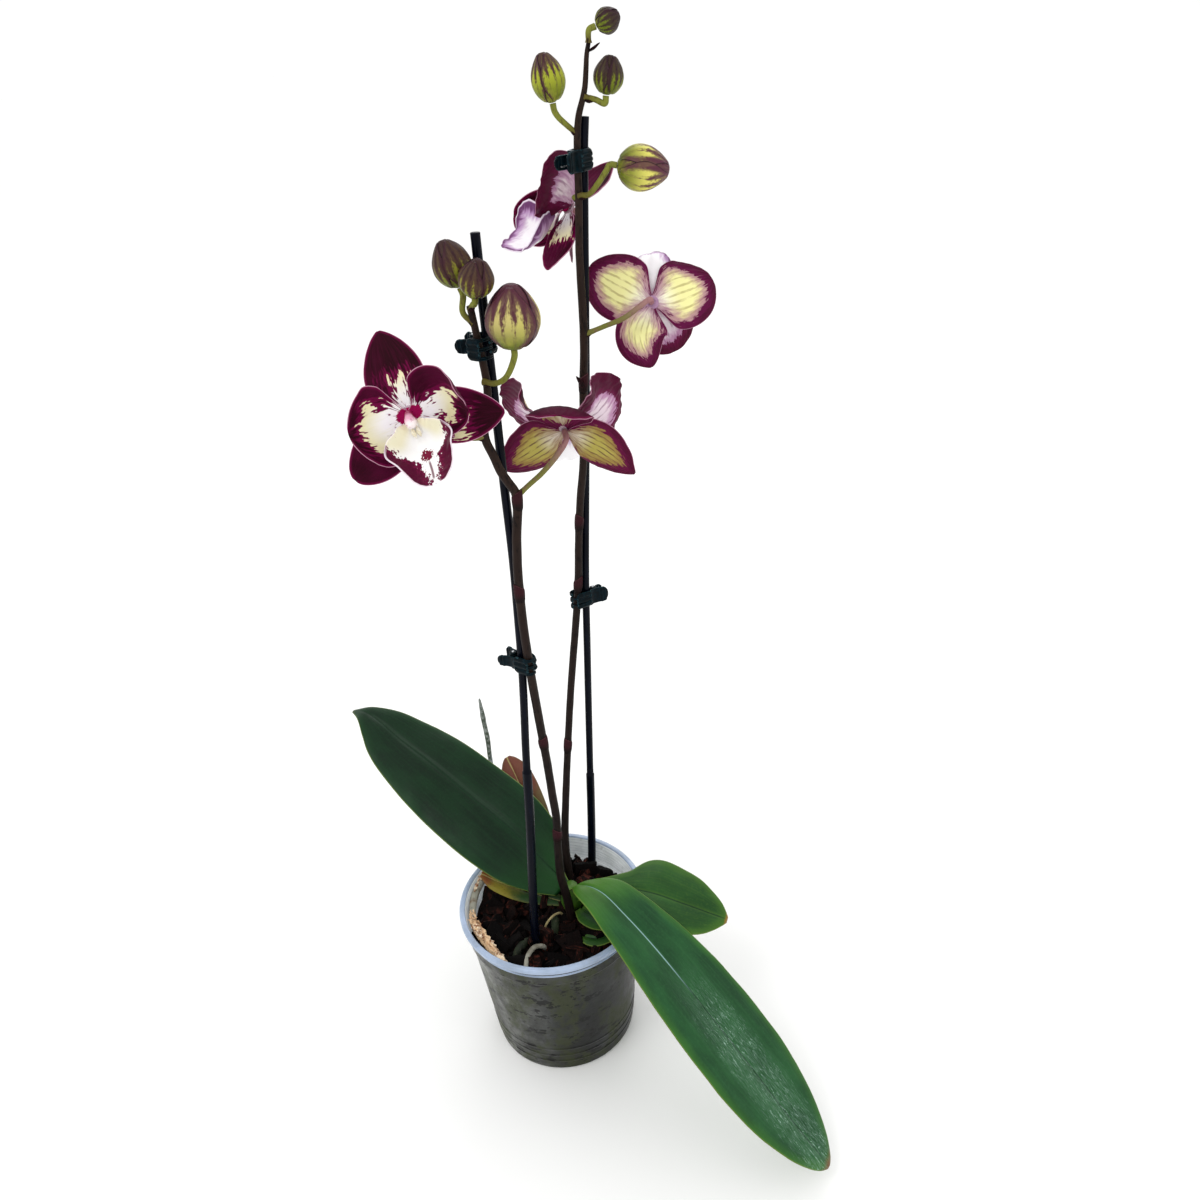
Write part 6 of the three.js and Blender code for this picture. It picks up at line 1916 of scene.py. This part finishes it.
def coil_spring(shape):
    """Wire spring about the pin, with one leg out along each tab."""
    turns = 3.5
    angles = np.linspace(0, 2 * math.pi * turns, int(turns * 14))
    heights = np.linspace(-1.5, 1.5, len(angles))
    helix = [[1.35 * math.cos(a), 1.35 * math.sin(a), z] for a, z in zip(angles + 1.6, heights)]
    legs = ([[-5.2, 2.6, -1.6], [-2.4, 1.9, -1.6]], [[-2.4, -1.9, 1.6], [-5.2, -2.6, 1.6]])
    tube(shape, [*legs[0], *helix, *legs[1]], lambda t, a: 0.36, sides=8, steps=260)
    pin = [[0, 0, -CLIP_HALF_HEIGHT - 0.5], [0, 0, 0], [0, 0, CLIP_HALF_HEIGHT + 0.5]]
    tube(shape, pin, lambda t, a: 0.75 * linear([[0, 0.7], [0.04, 1], [0.96, 1], [1, 0.7]], t), 16, 30)


def clips():
    for name, clip in CLIPS.items():
        turn = Matrix.Rotation(math.radians(clip["heading"]), 3, "Z")
        if clip["flipped"]:
            turn = turn @ Matrix.Rotation(math.pi, 3, "X")
        for part in ("jaw_fixed", "jaw_moving", "spring"):
            shape = Shape()
            finish, slot = CLIP_NYLON, "clip_plastic"
            if part == "spring":
                coil_spring(shape)
                finish, slot = SPRING_STEEL, "spring_steel"
            else:
                jaw(shape, part[4:], clip["grip"])
            about = turn @ Matrix.Rotation(math.pi, 3, "X") if part == "jaw_fixed" else turn
            shape.points = [block @ np.array(about).T + clip["pin"] for block in shape.points]
            body = f"{name}_jaw" if part == "jaw_moving" else PLANT
            shape.make(f"{name}_{part}", [finish], [f"{name}_{part}"], body)


# Stage

# Metres and watts
FLOOR_REACH = 30.0
WORLD_STRENGTH = 1.05
LIGHTS_AIM = [0, 0, 0.3]
LIGHTS = {
    "key": {"place": (-0.9, -0.7, 1.9), "size": 0.7, "power": 7},
    "fill": {"place": (1.3, -0.7, 0.9), "size": 1.2, "power": 1.5},
    "rim": {"place": (0.4, 1.3, 1.5), "size": 0.8, "power": 4},
}


def stage():
    floor = bpy.data.meshes.new("floor")
    corners = [(x * FLOOR_REACH, y * FLOOR_REACH, 0) for x, y in ((-1, -1), (1, -1), (1, 1), (-1, 1))]
    floor.from_pydata(corners, [], [(0, 1, 2, 3)])
    made = bpy.data.objects.new("floor", floor)
    bpy.context.scene.collection.objects.link(made)
    floor.materials.append(STUDIO_FLOOR)
    world = bpy.data.worlds.new("studio")
    bpy.context.scene.world = world
    world.use_nodes = True
    sky = world.node_tree.nodes["Background"].inputs
    sky["Color"].default_value = (1, 1, 1, 1)
    sky["Strength"].default_value = WORLD_STRENGTH
    bpy.context.scene.view_settings.view_transform = "Standard"
    for label, light in LIGHTS.items():
        lamp = bpy.data.lights.new(label, "AREA")
        lamp.energy = light["power"]
        lamp.size = light["size"]
        lit = bpy.data.objects.new(label, lamp)
        bpy.context.scene.collection.objects.link(lit)
        place = np.array(light["place"])
        back = unit(place - LIGHTS_AIM)
        right = unit(np.cross([0, 0, 1], back))
        up = np.cross(back, right)
        lit.matrix_world = Matrix([[right[i], up[i], back[i], place[i]] for i in range(3)] + [[0, 0, 0, 1]])


def camera():
    """Camera at the photograph's place: about 0.77 m away, looking down 29 degrees."""
    right = (0.98802, -0.13636, -0.07232)
    up = (0.12959, 0.47836, 0.86855)
    forward = (0.08384, 0.86752, -0.49029)
    place = (0.0, -0.4872, 0.5976)
    data = bpy.data.cameras.new("camera")
    data.sensor_width = 36
    data.lens = 30.74
    data.clip_start = 0.01
    data.clip_end = 100
    made = bpy.data.objects.new("camera", data)
    bpy.context.scene.collection.objects.link(made)
    made.matrix_world = Matrix(
        [[right[i], up[i], -forward[i], place[i]] for i in range(3)] + [[0, 0, 0, 1]]
    )
    bpy.context.scene.camera = made


# Assembly

camera()
stage()
nursery_pot()
potting_bark()
roots()
crown()
for leaf_name, (upper, under) in LEAF_FINISHES.items():
    leaf(leaf_name, [upper, under])
stakes()
spike("left", LEFT_SPIKE)
spike("right", RIGHT_SPIKE)
blooms()
buds()
clips()
